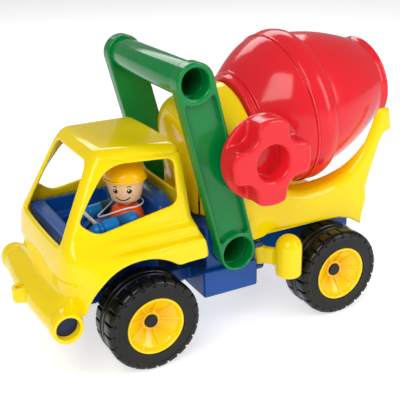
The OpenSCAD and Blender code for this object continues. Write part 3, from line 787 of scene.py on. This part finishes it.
def tub_field(x, y, z):
    side = np.abs(y)
    tub = block(x, y, z, (-122, -43, 73), (-44, 43, TUB_TOP), 1.2)
    inwards = WELL_SLOPE * (TUB_TOP - z)
    well = np.maximum(side - WELL_HALF + inwards, np.maximum(-112.5 - x + inwards, x + 47))
    well = soft_min(well, plate(x, y, (-105, -33), (-47, 33), 3), 1.5)
    tub = soft_max(tub, -np.maximum(well, WELL_FLOOR - z), 1.8)
    tub = soft_max(tub, -block(x, side, z, ARM_ROOM[0], ARM_ROOM[1], 2), 1.5)
    back = block(x, y, z, (-57, -36, 75), (-45.6, 36, 109), 3)
    back = soft_max(back, 0.5 * (side - 31) + 0.87 * (z - SHOULDER_Z), 4)
    back = soft_max(back, -0.6 * (x + 56) + 0.8 * (z - SHOULDER_Z), 4)
    base = block(x, y, z, (-86, -34, 74), (-47, 34, 82), 2)
    foot = block(x, y, z, (-100, -26, 50), (-54, 26, 75), 1.5)
    return soft_min(soft_min(tub, soft_min(back, base, 3), 2), foot, 2)


piece("tub", net(tub_field, (-123, -44, 49), (-43, 44, 111), 0.9), "blue_plastic", "chassis", "cab_interior")
pin_at = box_mm("outrigger_pins")[1] - np.array([2.0, 2.0, 0.0])
BED_Z, BLOCK_Z, BEAM_HALF = 70.0, 84.0, 28.0
BOX_FRONT, BOX_REAR = -31.0, 12.0


def chassis_field(x, y, z):
    side = np.abs(y)
    ahead = block(x, y, z, (-121, -BEAM_HALF, 40), (BOX_FRONT + 4, BEAM_HALF, 50), 1.5)
    boxes = block(x, y, z, (BOX_FRONT, -49.5, 34), (BOX_REAR, 49.5, 54), 1.6)
    tower = block(x, y, z, (BOX_FRONT + 4, -45, 50), (4, 45, BLOCK_Z), 1.5)
    beam = block(x, y, z, (0, -BEAM_HALF, 44), (108, BEAM_HALF, BED_Z), 1.5)
    whole = soft_min(soft_min(ahead, boxes, 1.5), soft_min(tower, beam, 1.5), 1.5)
    for axle in (front_axle, rear_axle):
        boss = block(x, y, z, (axle[0] - 9, -33, 26), (axle[0] + 9, 33, 46), 1.5)
        whole = soft_min(whole, boss, 2)
        whole = np.maximum(whole, 2.1 - np.hypot(x - axle[0], z - axle[2]))
    reach = np.hypot(x - np.clip(x, BOX_REAR - 2, pin_at[0]), side - pin_at[1])
    for low in (44.5, 61.8):
        whole = soft_min(whole, slab(reach - 4.5, z, low, low + 3, 0.5), 0.8)
    post = plate(x, side, (BOX_REAR - 6, BEAM_HALF - 1), (BOX_REAR, pin_at[1] + 4.5), 1)
    whole = soft_min(whole, slab(post, z, 44.5, 64.8, 0.5), 0.8)
    pins = np.hypot(x - pin_at[0], side - pin_at[1]) - 2.05
    whole = np.maximum(whole, -np.maximum(pins, 43 - z))
    return np.maximum(whole, 12.6 - np.hypot(x - pivot_at[0], z - pivot_at[2]))


cast("chassis_skin", chassis_field, 1.1, "blue_plastic", "chassis", "chassis")

# %% [markdown]
# ## The carrying frame
# Each arm is a flat bar with a ring at both ends. Its outer face is sunk, which leaves a flange along both
# edges: that is how a moulder gets stiffness without a thick wall. In the arm's own plane the outline is
# simply everything closer than one ring radius to the line between the two tube axes.

# %% Arms and tubes
ARM_OUT, ARM_T, RING_R = box_mm("frame_arm_left")[0][1] * -1, 10.0, 13.2
PIVOT_BORE, GRIP_BORE, GRIP_R, PIVOT_R = 11.0, 9.4, 11.4, 12.5
SUNK, FLANGE = 4.2, 2.3
ARM_IN = ARM_OUT - ARM_T
arm_way = np.array([grip_at[0] - pivot_at[0], grip_at[2] - pivot_at[2]])
ARM_LEN = np.linalg.norm(arm_way)
arm_way /= ARM_LEN


def arm_field(x, y, z):
    u = (x - pivot_at[0]) * arm_way[0] + (z - pivot_at[2]) * arm_way[1]
    v = (x - pivot_at[0]) * arm_way[1] - (z - pivot_at[2]) * arm_way[0]
    low_ring, high_ring = np.hypot(u, v), np.hypot(u - ARM_LEN, v)
    flat = np.hypot(u - np.clip(u, 0, ARM_LEN), v) - RING_R
    out = -y
    arm = slab(flat, out, ARM_IN, ARM_OUT, 1.3)
    pocket = soft_max(np.abs(v) - RING_R + FLANGE, RING_R + 1.2 - np.minimum(low_ring, high_ring), 4)
    arm = soft_max(arm, -np.maximum(pocket, ARM_OUT - SUNK - out), 1.6)
    arm = soft_max(arm, PIVOT_BORE - low_ring, 2.4)
    return soft_max(arm, GRIP_BORE - high_ring, 2.4)


arm_low, arm_high = box_mm("frame_arm_left")
arm = net(arm_field, arm_low, arm_high, 0.75)
piece("arm_left", arm, "green_plastic", "carrying_frame", "frame_arm_left")
piece("arm_right", mirrored(arm), "green_plastic", "carrying_frame", "frame_arm_right")


def tube(at, outer, inner):
    """A plain tube between the arms: a long thin rectangle turned round the y axis."""
    half = ARM_IN + 0.3
    wall = rounded([[inner, -half], [outer, -half], [outer, half], [inner, half]], 0.3, 4)
    return spin(wall, (at[0], 0, at[2]), (0, 1, 0), 160)


piece("grip", tube(grip_at, GRIP_R, GRIP_BORE), "green_plastic", "carrying_frame", "grip_tube")
piece("pivot", tube(pivot_at, PIVOT_R, PIVOT_BORE), "green_plastic", "carrying_frame", "pivot_tube")

# %% [markdown]
# ## Gear housing
# The housing is a drum-shaped cap on the drum's own tilted axis, with a big round at its nose. A cone leans
# out to the hand knob's shaft, and a pedestal carries it down to the cradle. The fillets between them come
# from the soft minimum alone.

# %% Gear housing
HOUSING_R, HOUSING_FRONT, HOUSING_BACK = 33.5, -86.0, -40.0
HOUSING_ROUND, HOUSING_WALL, ROUND_FROM = 14.0, 2.5, -63.0


def on_drum(x, y, z):
    """Distance along the drum's axis from the seam, and distance from the axis."""
    dx, dz = x - drum_at[0], z - drum_at[2]
    return dx * drum_axis[0] + dz * drum_axis[2], np.hypot(dx * drum_axis[2] - dz * drum_axis[0], y)


def housing_field(x, y, z):
    s, r = on_drum(x, y, z)
    edge = np.where(s < ROUND_FROM, HOUSING_ROUND, 1.2)
    a = np.abs(s - (HOUSING_FRONT + HOUSING_BACK) / 2) - (HOUSING_BACK - HOUSING_FRONT) / 2 + edge
    b = r - HOUSING_R + edge
    shell = np.hypot(np.maximum(a, 0), np.maximum(b, 0)) + np.minimum(np.maximum(a, b), 0) - edge
    stand = block(x, y, z, (-25, -31, 80), (13, 31, 130), 10)
    out = np.hypot(x - knob_at[0], z - knob_at[2])
    cone = 0.94 * (out - 12.5) + 0.34 * (-y - 47.5)
    cone = soft_max(soft_max(cone, -y - 48, 1.5), y + 20, 1)
    whole = soft_min(soft_min(shell, stand, 9), cone, 7)
    whole = soft_max(whole, s - HOUSING_BACK, 1.5)
    whole = soft_max(whole, 86.7 - z, 1.5)
    hollow = np.where(s < ROUND_FROM, shell, r - HOUSING_R) + HOUSING_WALL
    hollow = np.maximum(hollow, s + 20)
    hollow = np.minimum(hollow, block(x, y, z, (-22.5, -27.5, 80), (12.5, 27.5, 125), 1))
    hollow = np.minimum(hollow, np.maximum(out - 6.15, y + 10))
    return soft_max(whole, -hollow, 1)


cast("housing", housing_field, 0.95, "yellow_plastic", "chassis", "gear_housing")

# %% [markdown]
# ## Cradle
# The cradle's side walls have a saddle cut to the drum's curve and end in a hooked post. A flange stands
# inwards along the top edge. It is widest under the drum and narrows up the post.

# %% Cradle
CRADLE_HALF, CRADLE_WALL = box_mm("cradle")[1][1], 2.6
SADDLE_TOP = [[-8, 115], [4, 115], [22, 109], [37, 100.5], [50, 96], [66, 95], [83, 98.5], [95, 105.5],
              [104, 116.5], [111, 132], [115.5, 146], [119, 149.5]]
HOOK_AND_FOOT = [[128.5, 148], [131.5, 132], [134, 129.5], [125, 128], [121.5, 122], [113, 96], [105.5, 65],
                 [106, 59.5], [96, 66], [85, 69.5], [60, 71.2], [25, 73], [19, 69], [11, 68], [5, 71],
                 [5, 84], [-8, 84]]
TOP_CURVES = [0.5, 6] + [8] * 9 + [2.5]
cradle_edge = rounded(SADDLE_TOP + HOOK_AND_FOOT, TOP_CURVES + [2.5] + [3] * 4 + [8] * 2 + [1] * 10, 5)
top_edge = rounded(SADDLE_TOP + HOOK_AND_FOOT[:1], TOP_CURVES + [0.5], 5)

FLANGE_X, FLANGE_INNER = [20, 36, 46, 72, 88, 99, 108, 120], [44.0, 38, 28.5, 28.5, 32, 37, 42, 43]


def cradle_field(x, y, z):
    side = np.abs(y)
    flat = outline(x, z, cradle_edge)
    inner = np.interp(x, FLANGE_X, FLANGE_INNER)
    solid = soft_max(flat, side - CRADLE_HALF, 1.6 + 6.4 * ease(z, 78, 90))
    skin = soft_max(solid, -solid - CRADLE_WALL, 1)
    flange_zone = np.maximum(near_path(x, z, top_edge) - 2 * CRADLE_WALL, inner - side)
    whole = soft_max(skin, np.minimum(flange_zone, CRADLE_HALF - CRADLE_WALL - side), 1)
    floor = block(x, y, z, (5.4, -46, BED_Z), (105.4, 46, BED_Z + CRADLE_WALL), 0.6)
    step = block(x, y, z, (5.4, -46, BED_Z), (8, 46, BED_Z + 15), 0.6)
    shelf = block(x, y, z, (-8, -46, BLOCK_Z), (8, 46, BLOCK_Z + CRADLE_WALL), 0.6)
    whole = soft_min(whole, np.minimum(floor, np.minimum(step, shelf)), 1)
    return soft_max(whole, 15 - np.hypot(x - knob_at[0], z - knob_at[2]), 1)


cast("cradle_skin", cradle_field, 0.9, "yellow_plastic", "chassis", "cradle")

# %% [markdown]
# ## Hand knob
# A round flange carries four lobes. Between them a finger's width is scooped out, and the middle is a deep
# well. All edges are generously round, since a child's hand turns it.

# %% Knob
knob_low, knob_high = box_mm("knob")
KNOB_R, KNOB_BACK, KNOB_T = (knob_high[0] - knob_low[0]) / 2, -knob_high[1], knob_high[1] - knob_low[1]
SCOOP_R, WELL_R, FLANGE_T = 10.5, 11.8, 4.0


def knob_field(x, y, z):
    a, b, out = x - knob_at[0], z - knob_at[2], -y - KNOB_BACK
    r = np.hypot(a, b)
    scoop = np.hypot(np.abs(a) - (KNOB_R + 1.5) * np.sqrt(0.5), np.abs(b) - (KNOB_R + 1.5) * np.sqrt(0.5))
    lobes = soft_max(r - KNOB_R, SCOOP_R - scoop, 5)
    grip = slab(lobes, out, 0.5, KNOB_T, 2.4)
    flange = slab(r - KNOB_R, out, 0, FLANGE_T, 1.5)
    whole = soft_min(grip, flange, 1.8)
    whole = soft_max(whole, -np.maximum(r - WELL_R, 4.7 - out), 3.0)
    return np.maximum(whole, -np.maximum(r - 6.05, out - 4))


cast("knob_skin", knob_field, 0.65, "red_plastic", "knob_set", "knob")

# %% [markdown]
# ## The drum
# The drum is two shells that meet at a thin bead. The front one is a bowl with a collar at its neck. The rear
# one starts with a proud band, steps down, and then narrows like a pear to a lipped mouth. Both are
# closed loops, outside and inside wall in one, turned once round the drum's axis.

# %% Drum shells
BEAD_R, BOWL_R, NECK_R, FRONT_LEN = 56.5, 55.4, 38.4, 32.6
DRUM_WALL, MOUTH_R = 2.4, 24.0


def front_shell():
    """A bowl: the radius falls from the seam with the 1.5th power of the distance."""
    share = np.linspace(0, 1, 40)[:, None]
    bowl = np.hstack([BOWL_R - (BOWL_R - NECK_R) * share ** 1.5, -1.8 - (FRONT_LEN - 1.8) * share])
    bead = rounded([[BOWL_R - 2, 0], [BEAD_R, 0], [BEAD_R, -1.7], [BOWL_R, -1.8]], [0.2, 0.5, 0.5, 0.2], 4)
    collar = [[NECK_R, -FRONT_LEN], [36.3, -33.1], [35.8, -35.1], [36.8, -35.6], [36.5, -38.5], [34.4, -38.5],
              [10, -38.3], [10, -34.6], [5, -34.6], [5, -32.2], [12.4, -32.2], [12.4, -36.0], [33.2, -36.0],
              [NECK_R - DRUM_WALL, -32]]
    collar = rounded(collar, [0.3, 0.4, 0.4, 0.5, 0.6, 0.5] + [0.4] * 8, 4)
    inside = np.array([[-DRUM_WALL - 0.3, 0]]) + bowl[::-1]
    return np.concatenate([bead[4:], bowl[1:-1], collar, inside[1:-1], [[BOWL_R - DRUM_WALL - 0.3, 0]]])


def rear_shell():
    """The band swells like half a wave, and past the step the radius falls ever faster towards the mouth."""
    band_s = np.linspace(1.4, 14.6, 16)
    band = np.stack([55.7 + 1.7 * np.sin(np.pi * (band_s - 0.5) / 15), band_s], 1)
    cone_s = np.linspace(18.4, 73.0, 48)
    share = (cone_s - 16.6) / 60
    cone = np.stack([51.9 - 20.9 * (0.14 * share + 0.86 * share ** 1.75), cone_s], 1)
    step = rounded([[55.8, 14.9], [55.2, 16.0], [52.5, 16.6], [51.8, 18.1]], [0.2, 1.1, 1.1, 0.2], 5)
    lip = rounded([[32.9, 73.6], [32.8, 75.0], [33.3, 77.4], [33.3, 78.6], [32.4, 79.6], [MOUTH_R, 79.6],
                   [MOUTH_R, 77.2], [30, 77.0]], [0.2, 1.0, 0.8, 0.6, 0.6, 0.8, 0.8, 0.4], 4)
    inside = np.concatenate([band, cone])[::-1] - [DRUM_WALL, 0]
    return np.concatenate([[[53.2, 0.02], [55.6, 0.02]], band, step, cone, lip, inside])


for name, loop in (("drum_front", front_shell()), ("drum_rear", rear_shell())):
    piece(name + "_skin", spin(loop, drum_at, drum_axis, 288), "red_plastic", "drum_set", name)

# %% [markdown]
# ## Tyres
# A tyre is a closed profile turned round the axle. The tread is pressed into it: along the turn, narrow slots
# push the surface inwards, staggered between the two shoulders, and they fade out on the flat side wall.

# %% Tyres
TYRE_R, TYRE_W, RIM_R, LUGS = 33.0, 29.0, 20.4, 24
SLOT_HALF, SLOT_DEEP = 0.9, 1.6


def tyre_profile():
    """Half a tyre from the bead to the middle of the tread, then the same mirrored."""
    half = rounded([[RIM_R, 1.2], [RIM_R, 0.4], [21.0, -0.1], [22.0, 0.5], [27.6, 0.9], [28.3, 0.4],
                    [31.4, 0.8], [TYRE_R - 0.1, 3.0], [TYRE_R, 6.0], [TYRE_R - 0.1, 10.8],
                    [TYRE_R - 1.3, 11.4], [TYRE_R - 1.3, 12.9], [TYRE_R - 0.4, 13.4], [TYRE_R - 0.4, 14.5]],
                   [0.2, 0.5, 0.4, 0.5, 0.4, 0.5, 1.2, 2, 2, 0.6, 0.4, 0.4, 0.4, 0.1], 5)[2:-3]
    fine = divided(half, 0.5)
    return np.concatenate([fine, (fine * [1, -1] + [0, TYRE_W])[::-1]])


def pressed_tread(angle, radius, along):
    """Slots between the lugs. phase is where a point lies between two slots, in turns of one lug."""
    outer = along < TYRE_W / 2
    from_edge = np.where(outer, along, TYRE_W - along)
    phase = angle * LUGS / (2 * np.pi) + np.where(outer, 0.0, 0.5)
    away = np.abs(phase - np.round(phase)) * 2 * np.pi / LUGS * radius
    slot = 1 - ease(away, SLOT_HALF - 0.55, SLOT_HALF + 0.25)
    zone = ease(radius, 28.3, 29.2) * (1 - ease(from_edge, 10.0, 10.9))
    deep = SLOT_DEEP * slot * zone
    lean = ease(radius, 29.5, 32.0)
    sideways = np.where(outer, 1, -1) * deep * (1 - lean) * 0.9
    return radius - deep * (0.35 + 0.65 * lean), along + sideways


# %% [markdown]
# ## Rims
# The rim is a bright bead round a cone-shaped dish. Nine thin ribs stand in the dish from the collar round
# the cap to the bead. On the round grid a rib is a narrow range of angle where the dish is lifted up to a
# straight line.

# %% Rims
RIBS, RIB_HALF, DISH_DEEP, COLLAR_R, CAP_HOLE_R = 9, 0.62, 9.6, 6.6, 4.5


def rim_profile():
    outer = rounded([[CAP_HOLE_R, 11.5], [CAP_HOLE_R, 8.6], [COLLAR_R, 8.4], [COLLAR_R + 0.6, DISH_DEEP],
                     [17.3, 3.4], [18.3, 0.7], [19.0, 0.1], [20.1, 0.1], [RIM_R, 0.8], [RIM_R, 28.0],
                     [18.0, 28.0], [18.0, 15.0], [6.0, 15.0], [6.0, 28.0], [2.0, 28.0], [2.0, 11.5]],
                    [0.4, 0.6, 0.6, 1.0, 1.2, 0.8, 0.5, 0.5, 0.4, 0.5, 0.5, 0.8, 0.8, 0.5, 0.5, 0.4], 6)
    return divided(np.concatenate([outer, outer[:1]]), 0.9)


def lifted_ribs(angle, radius, along):
    phase = angle * RIBS / (2 * np.pi)
    away = np.abs(phase - np.round(phase)) * 2 * np.pi / RIBS * radius
    rib = 1 - ease(away, RIB_HALF - 0.3, RIB_HALF + 0.25)
    top = 7.9 - 6.4 * (radius - COLLAR_R) / (18.0 - COLLAR_R)
    in_dish = (radius > COLLAR_R + 0.2) & (radius < 18.4) & (along < 11)
    return radius, along + np.where(in_dish, np.minimum(top - along, 0) * rib, 0)


# %% Four wheels from the same two profiles
tyre_loop, rim_loop = tyre_profile(), rim_profile()
for end, at in (("front", front_axle), ("rear", rear_axle)):
    for side, way in (("left", -1), ("right", 1)):
        face = (at[0], way * box_mm("tyre_" + end + "_right")[1][1], at[2])
        body = end + "_axle_set"
        name = end + "_" + side
        inwards = (0, -way, 0)
        made = spin(tyre_loop, face, inwards, 576, pressed_tread)
        piece("tyre_skin_" + name, made, "tyre_plastic", body, "tyre_" + name)
        dish = spin(rim_loop, (face[0], face[1] - way * 0.5, face[2]), inwards, 540, lifted_ribs)
        piece("rim_skin_" + name, dish, "rim_plastic", body, "rim_" + name)

# %% [markdown]
# ## Outriggers
# A foot with a domed top hangs on a short web that swings round an upright pin behind the side box.

# %% Outriggers
foot_low, foot_high = box_mm("outrigger_left")
FOOT_R = 9.4
FOOT_X, FOOT_Y = foot_high[0] - FOOT_R, foot_low[1] + FOOT_R


def outrigger_field(x, y, z):
    dx, dy = FOOT_X - pin_at[0], FOOT_Y + pin_at[1]
    reach = np.hypot(dx, dy)
    u = ((x - pin_at[0]) * dx + (y + pin_at[1]) * dy) / reach
    v = ((x - pin_at[0]) * dy - (y + pin_at[1]) * dx) / reach
    around = np.hypot(x - FOOT_X, y - FOOT_Y)
    dome = np.hypot(around, np.maximum(z - foot_high[2] + FOOT_R, 0)) - FOOT_R
    foot = soft_max(dome, foot_low[2] - z, 2.5)
    barrel = slab(np.hypot(x - pin_at[0], y + pin_at[1]) - 4.4, z, 48, 61.4, 0.6)
    web = block(u, v, z, (0, -2, 48.3), (reach - 3, 2, 61), 0.8)
    whole = soft_min(soft_min(foot, web, 3), barrel, 1.5)
    return np.maximum(whole, 2.06 - np.hypot(x - pin_at[0], y + pin_at[1]))


support = net(outrigger_field, foot_low, foot_high, 0.75)
piece("support_left", support, "yellow_plastic", "outrigger_left_leg", "outrigger_left")
piece("support_right", mirrored(support), "yellow_plastic", "outrigger_right_leg", "outrigger_right")

# %% [markdown]
# ## The driver
# A toy figure is turned from a few round pieces: a head shaped like a cup, a helmet like a bowl with a small
# brim, a bell-shaped body, two sleeves with a gap before the hand, and legs bent over the seat's edge.

# %% Driver
head_x, head_y = seat_at[0], seat_at[1]
up = (0, 0, 1)
ON_AXIS, HELMET_R, BRIM_R = 0.06, 13.7, 14.6
HELMET_Z, CHIN_Z, HELMET_TOP = 122.9, 107.6, box_mm("driver_helmet")[1][2]
head_loop = rounded([[0, HELMET_Z + 6], [11.5, HELMET_Z + 4], [13.0, HELMET_Z], [12.3, 118],
                     [9.6, CHIN_Z + 0.6], [7.5, CHIN_Z], [3, CHIN_Z], [3, 92.6], [0, 92.6]],
                    [0.01, 2, 2, 4, 2.6, 1.2, 0.3, 0.3, 0.01], 8)
head_loop[np.abs(head_loop[:, 0]) < ON_AXIS, 0] = 0
piece("head", spin(head_loop, (head_x, head_y, 0), up, 128), "skin_plastic", "driver_head_set", "driver_head")

bowl = np.linspace(0, np.pi / 2, 24)[::-1]
BRIM_TOP = HELMET_Z + 1.7
dome = np.stack([HELMET_R * np.cos(bowl) ** 0.92, BRIM_TOP + (HELMET_TOP - BRIM_TOP) * np.sin(bowl)], 1)
dome[0, 0] = 0
brim = rounded([[HELMET_R, HELMET_Z + 1.5], [14.5, HELMET_Z + 1.2], [BRIM_R, HELMET_Z - 0.2],
                [12.0, HELMET_Z - 0.2]], [0.2, 0.5, 0.5, 0.3], 5)
helmet_loop = np.concatenate([dome, brim, [[12.0, HELMET_Z + 2], [0, HELMET_Z + 7.5]]])
piece("helmet", spin(helmet_loop, (head_x, head_y, 0), up, 160), "helmet_plastic", "driver_head_set",
      "driver_helmet")

torso_loop = rounded([[0, 104.4], [6.8, 104.4], [9.6, 102.6], [11.6, 96], [12.6, 89], [12.6, 84], [0, 84]],
                     [0.01, 1.5, 3, 3, 3, 0.8, 0.01], 8)
torso_loop[np.abs(torso_loop[:, 0]) < ON_AXIS, 0] = 0
piece("torso", spin(torso_loop, (head_x, head_y, 0), up, 128), "orange_plastic", "chassis", "driver_torso")

ARM_DROP = math.radians(7)
arm_way_3d = np.array([-math.cos(ARM_DROP), 0.0, -math.sin(ARM_DROP)])
sleeve = [[5.0 * math.sin(a), -5.0 * math.cos(a)] for a in np.linspace(0, np.pi / 2, 12)]
sleeve[0][0] = 0.0
cuff = rounded([[5.0, 10], [5.0, 19.4], [4.5, 20.0], [3.3, 20.1], [3.3, 21.0], [4.3, 21.3], [4.5, 24]],
               [1, 0.5, 0.3, 0.3, 0.3, 0.4, 1], 5)
hand = [[4.5 * math.cos(a), 24.4 + 4.4 * math.sin(a)] for a in np.linspace(0.1, np.pi / 2, 12)]
hand[-1][0] = 0.0
arm_loop = np.array(sleeve + cuff.tolist() + hand)
for side, node in (("left", "driver_arm_left"), ("right", "driver_arm_right")):
    shoulder = joint_at(side + "_arm_lift")
    body = "driver_" + side + "_arm"
    piece("sleeve_" + side, spin(arm_loop, shoulder, arm_way_3d, 96), "light_blue_plastic", body, node)


def legs_field(x, y, z):
    side = np.abs(y - head_y) - 4.2
    thigh = block(x, side, z, (-93, -3.8, 81.5), (-77, 3.8, 88), 2.2)
    foot = block(x, side, z, (-97, -3.8, 77), (-90, 3.8, 88), 2.2)
    return soft_min(thigh, foot, 2)


legs = net(legs_field, (-98, head_y - 9, 76), (-76, head_y + 9, 89), 0.6)
piece("legs", legs, "light_blue_plastic", "chassis", "driver_legs")

# %% [markdown]
# ## Steering wheel and tie
# The steering wheel's pale rim is ribbed all round, so that it reads as a row of fine bars. A thin white tie
# runs from it round the driver's neck, which keeps the figure in its seat on the way to the shop.

# %% Steering wheel
wheel_at, wheel_way = joint_at("steering_turn"), np.array(joints["steering_turn"]["axis"], float)
WHEEL_R, WHEEL_TUBE, WHEEL_RIBS = 6.6, 1.75, 20


def ribbed(angle, radius, along):
    """The rim's tube is 14% thinner in the grooves."""
    groove = 0.5 - 0.5 * np.cos(angle * WHEEL_RIBS)
    keep = 1 - 0.16 * groove ** 2
    return WHEEL_R + (radius - WHEEL_R) * keep, along * keep


turn = np.linspace(0, 2 * np.pi, 24, endpoint=False)
tube_loop = np.stack([WHEEL_R + WHEEL_TUBE * np.cos(turn), 1.25 * np.sin(turn)], 1)
piece("wheel_rim", spin(tube_loop, wheel_at, wheel_way, 400, ribbed), "white_plastic", "steering_wheel",
      "steering_wheel")
side_way = np.array([0.0, 1.0, 0.0])
third_way = np.cross(wheel_way, side_way)


def hub_field(x, y, z):
    dx, dy, dz = x - wheel_at[0], y - wheel_at[1], z - wheel_at[2]
    w = dx * wheel_way[0] + dy * wheel_way[1] + dz * wheel_way[2]
    u = dx * side_way[0] + dy * side_way[1] + dz * side_way[2]
    v = dx * third_way[0] + dy * third_way[1] + dz * third_way[2]
    hub = slab(np.hypot(u, v) - 3, w, -1.3, 1.3, 0.7)
    for angle in (0, 120, 240):
        c, s = math.cos(math.radians(angle)), math.sin(math.radians(angle))
        hub = soft_min(hub, block(u * c + v * s, v * c - u * s, w, (0, -1, -0.8), (6.4, 1, 0.8), 0.4), 1)
    return hub


piece("wheel_hub", net(hub_field, wheel_at - 7.5, wheel_at + 7.5, 0.4), "white_plastic", "steering_wheel")


def tie():
    """A thin strand along a loop: round the neck, then forwards and down to the steering wheel."""
    t = np.linspace(0, 2 * np.pi, 160, endpoint=False)
    ahead = ease(np.cos(t), 0.2, 1.0)
    x = head_x - 11.5 * np.cos(t) - 9.0 * ahead
    y = head_y + 10.8 * np.sin(t) * (1 - 0.6 * ahead)
    path = np.stack([x, y, 105.2 - 5.8 * ahead], 1)
    tangent = np.roll(path, -1, 0) - np.roll(path, 1, 0)
    tangent /= np.linalg.norm(tangent, axis=1, keepdims=True)
    across = np.cross(tangent, up)
    across /= np.linalg.norm(across, axis=1, keepdims=True)
    above = np.cross(across, tangent)
    a = np.linspace(0, 2 * np.pi, 12, endpoint=False)[None, :, None]
    points = path[:, None] + 0.3 * across[:, None] * np.cos(a) + 0.6 * above[:, None] * np.sin(a)
    index = np.arange(160 * 12).reshape(160, 12)
    after = np.roll(index, -1, 0)
    quads = np.stack([index, after, np.roll(after, -1, 1), np.roll(index, -1, 1)], -1).reshape(-1, 4)
    return points.reshape(-1, 3), [quads], None


piece("neck_tie", tie(), "white_plastic", "chassis")

# %% [markdown]
# ## CAD pieces that stay
# Screws, pins, axles, gears and plugs are already the right shape. They only need their plastics and steel.

# %% Finish for the remaining CAD nodes
node_slots = {
    "steel": ["front_axle", "rear_axle", "drum_shaft", "outrigger_pins", "cradle_screws", "cab_screws",
              "bumper_screws"],
    "white_plastic": ["crown_gear", "pinion", "knob_shaft"],
    "yellow_plastic": ["bearing_plate"],
    "blue_plastic": ["steering_column"],
    "dark_blue_plastic": ["bumper_plugs"],
    "black_plastic": ["front_axle_caps", "rear_axle_caps"],
}
for slot, names in node_slots.items():
    for name in names:
        for holder in frame["nodes"][name].material_slots:
            holder.material = finish[slot]
print("kept CAD nodes:", sum(len(names) for names in node_slots.values()))

# %% [markdown]
# ## Floor
# A pale, slightly rough floor catches a faint contact shadow. Its colour is near white, as on a light table.

# %% Floor
FLOOR_HALF = 6.0
floor_mesh = bpy.data.meshes.new("floor")
corners = [(-FLOOR_HALF, -FLOOR_HALF, 0), (FLOOR_HALF, -FLOOR_HALF, 0), (FLOOR_HALF, FLOOR_HALF, 0),
           (-FLOOR_HALF, FLOOR_HALF, 0)]
floor_mesh.from_pydata(corners, [], [(0, 1, 2, 3)])
floor_look = Shader("floor")
floor_where, _ = floor_look.place()
floor_clouds = floor_look.noise(floor_where, 3.0)
floor_look.set(Base_Color=floor_look.mix(floor_clouds, linear("D2D2D2"), linear("CDCDCD")))
floor_look.set(Roughness=0.6, Specular_IOR_Level=0.1)
floor_look.set(Emission_Color=linear("FFFFFF"), Emission_Strength=0.62)
floor_mesh.materials.append(floor_look.material)
floor = bpy.data.objects.new("floor", floor_mesh)
bpy.context.scene.collection.objects.link(floor)
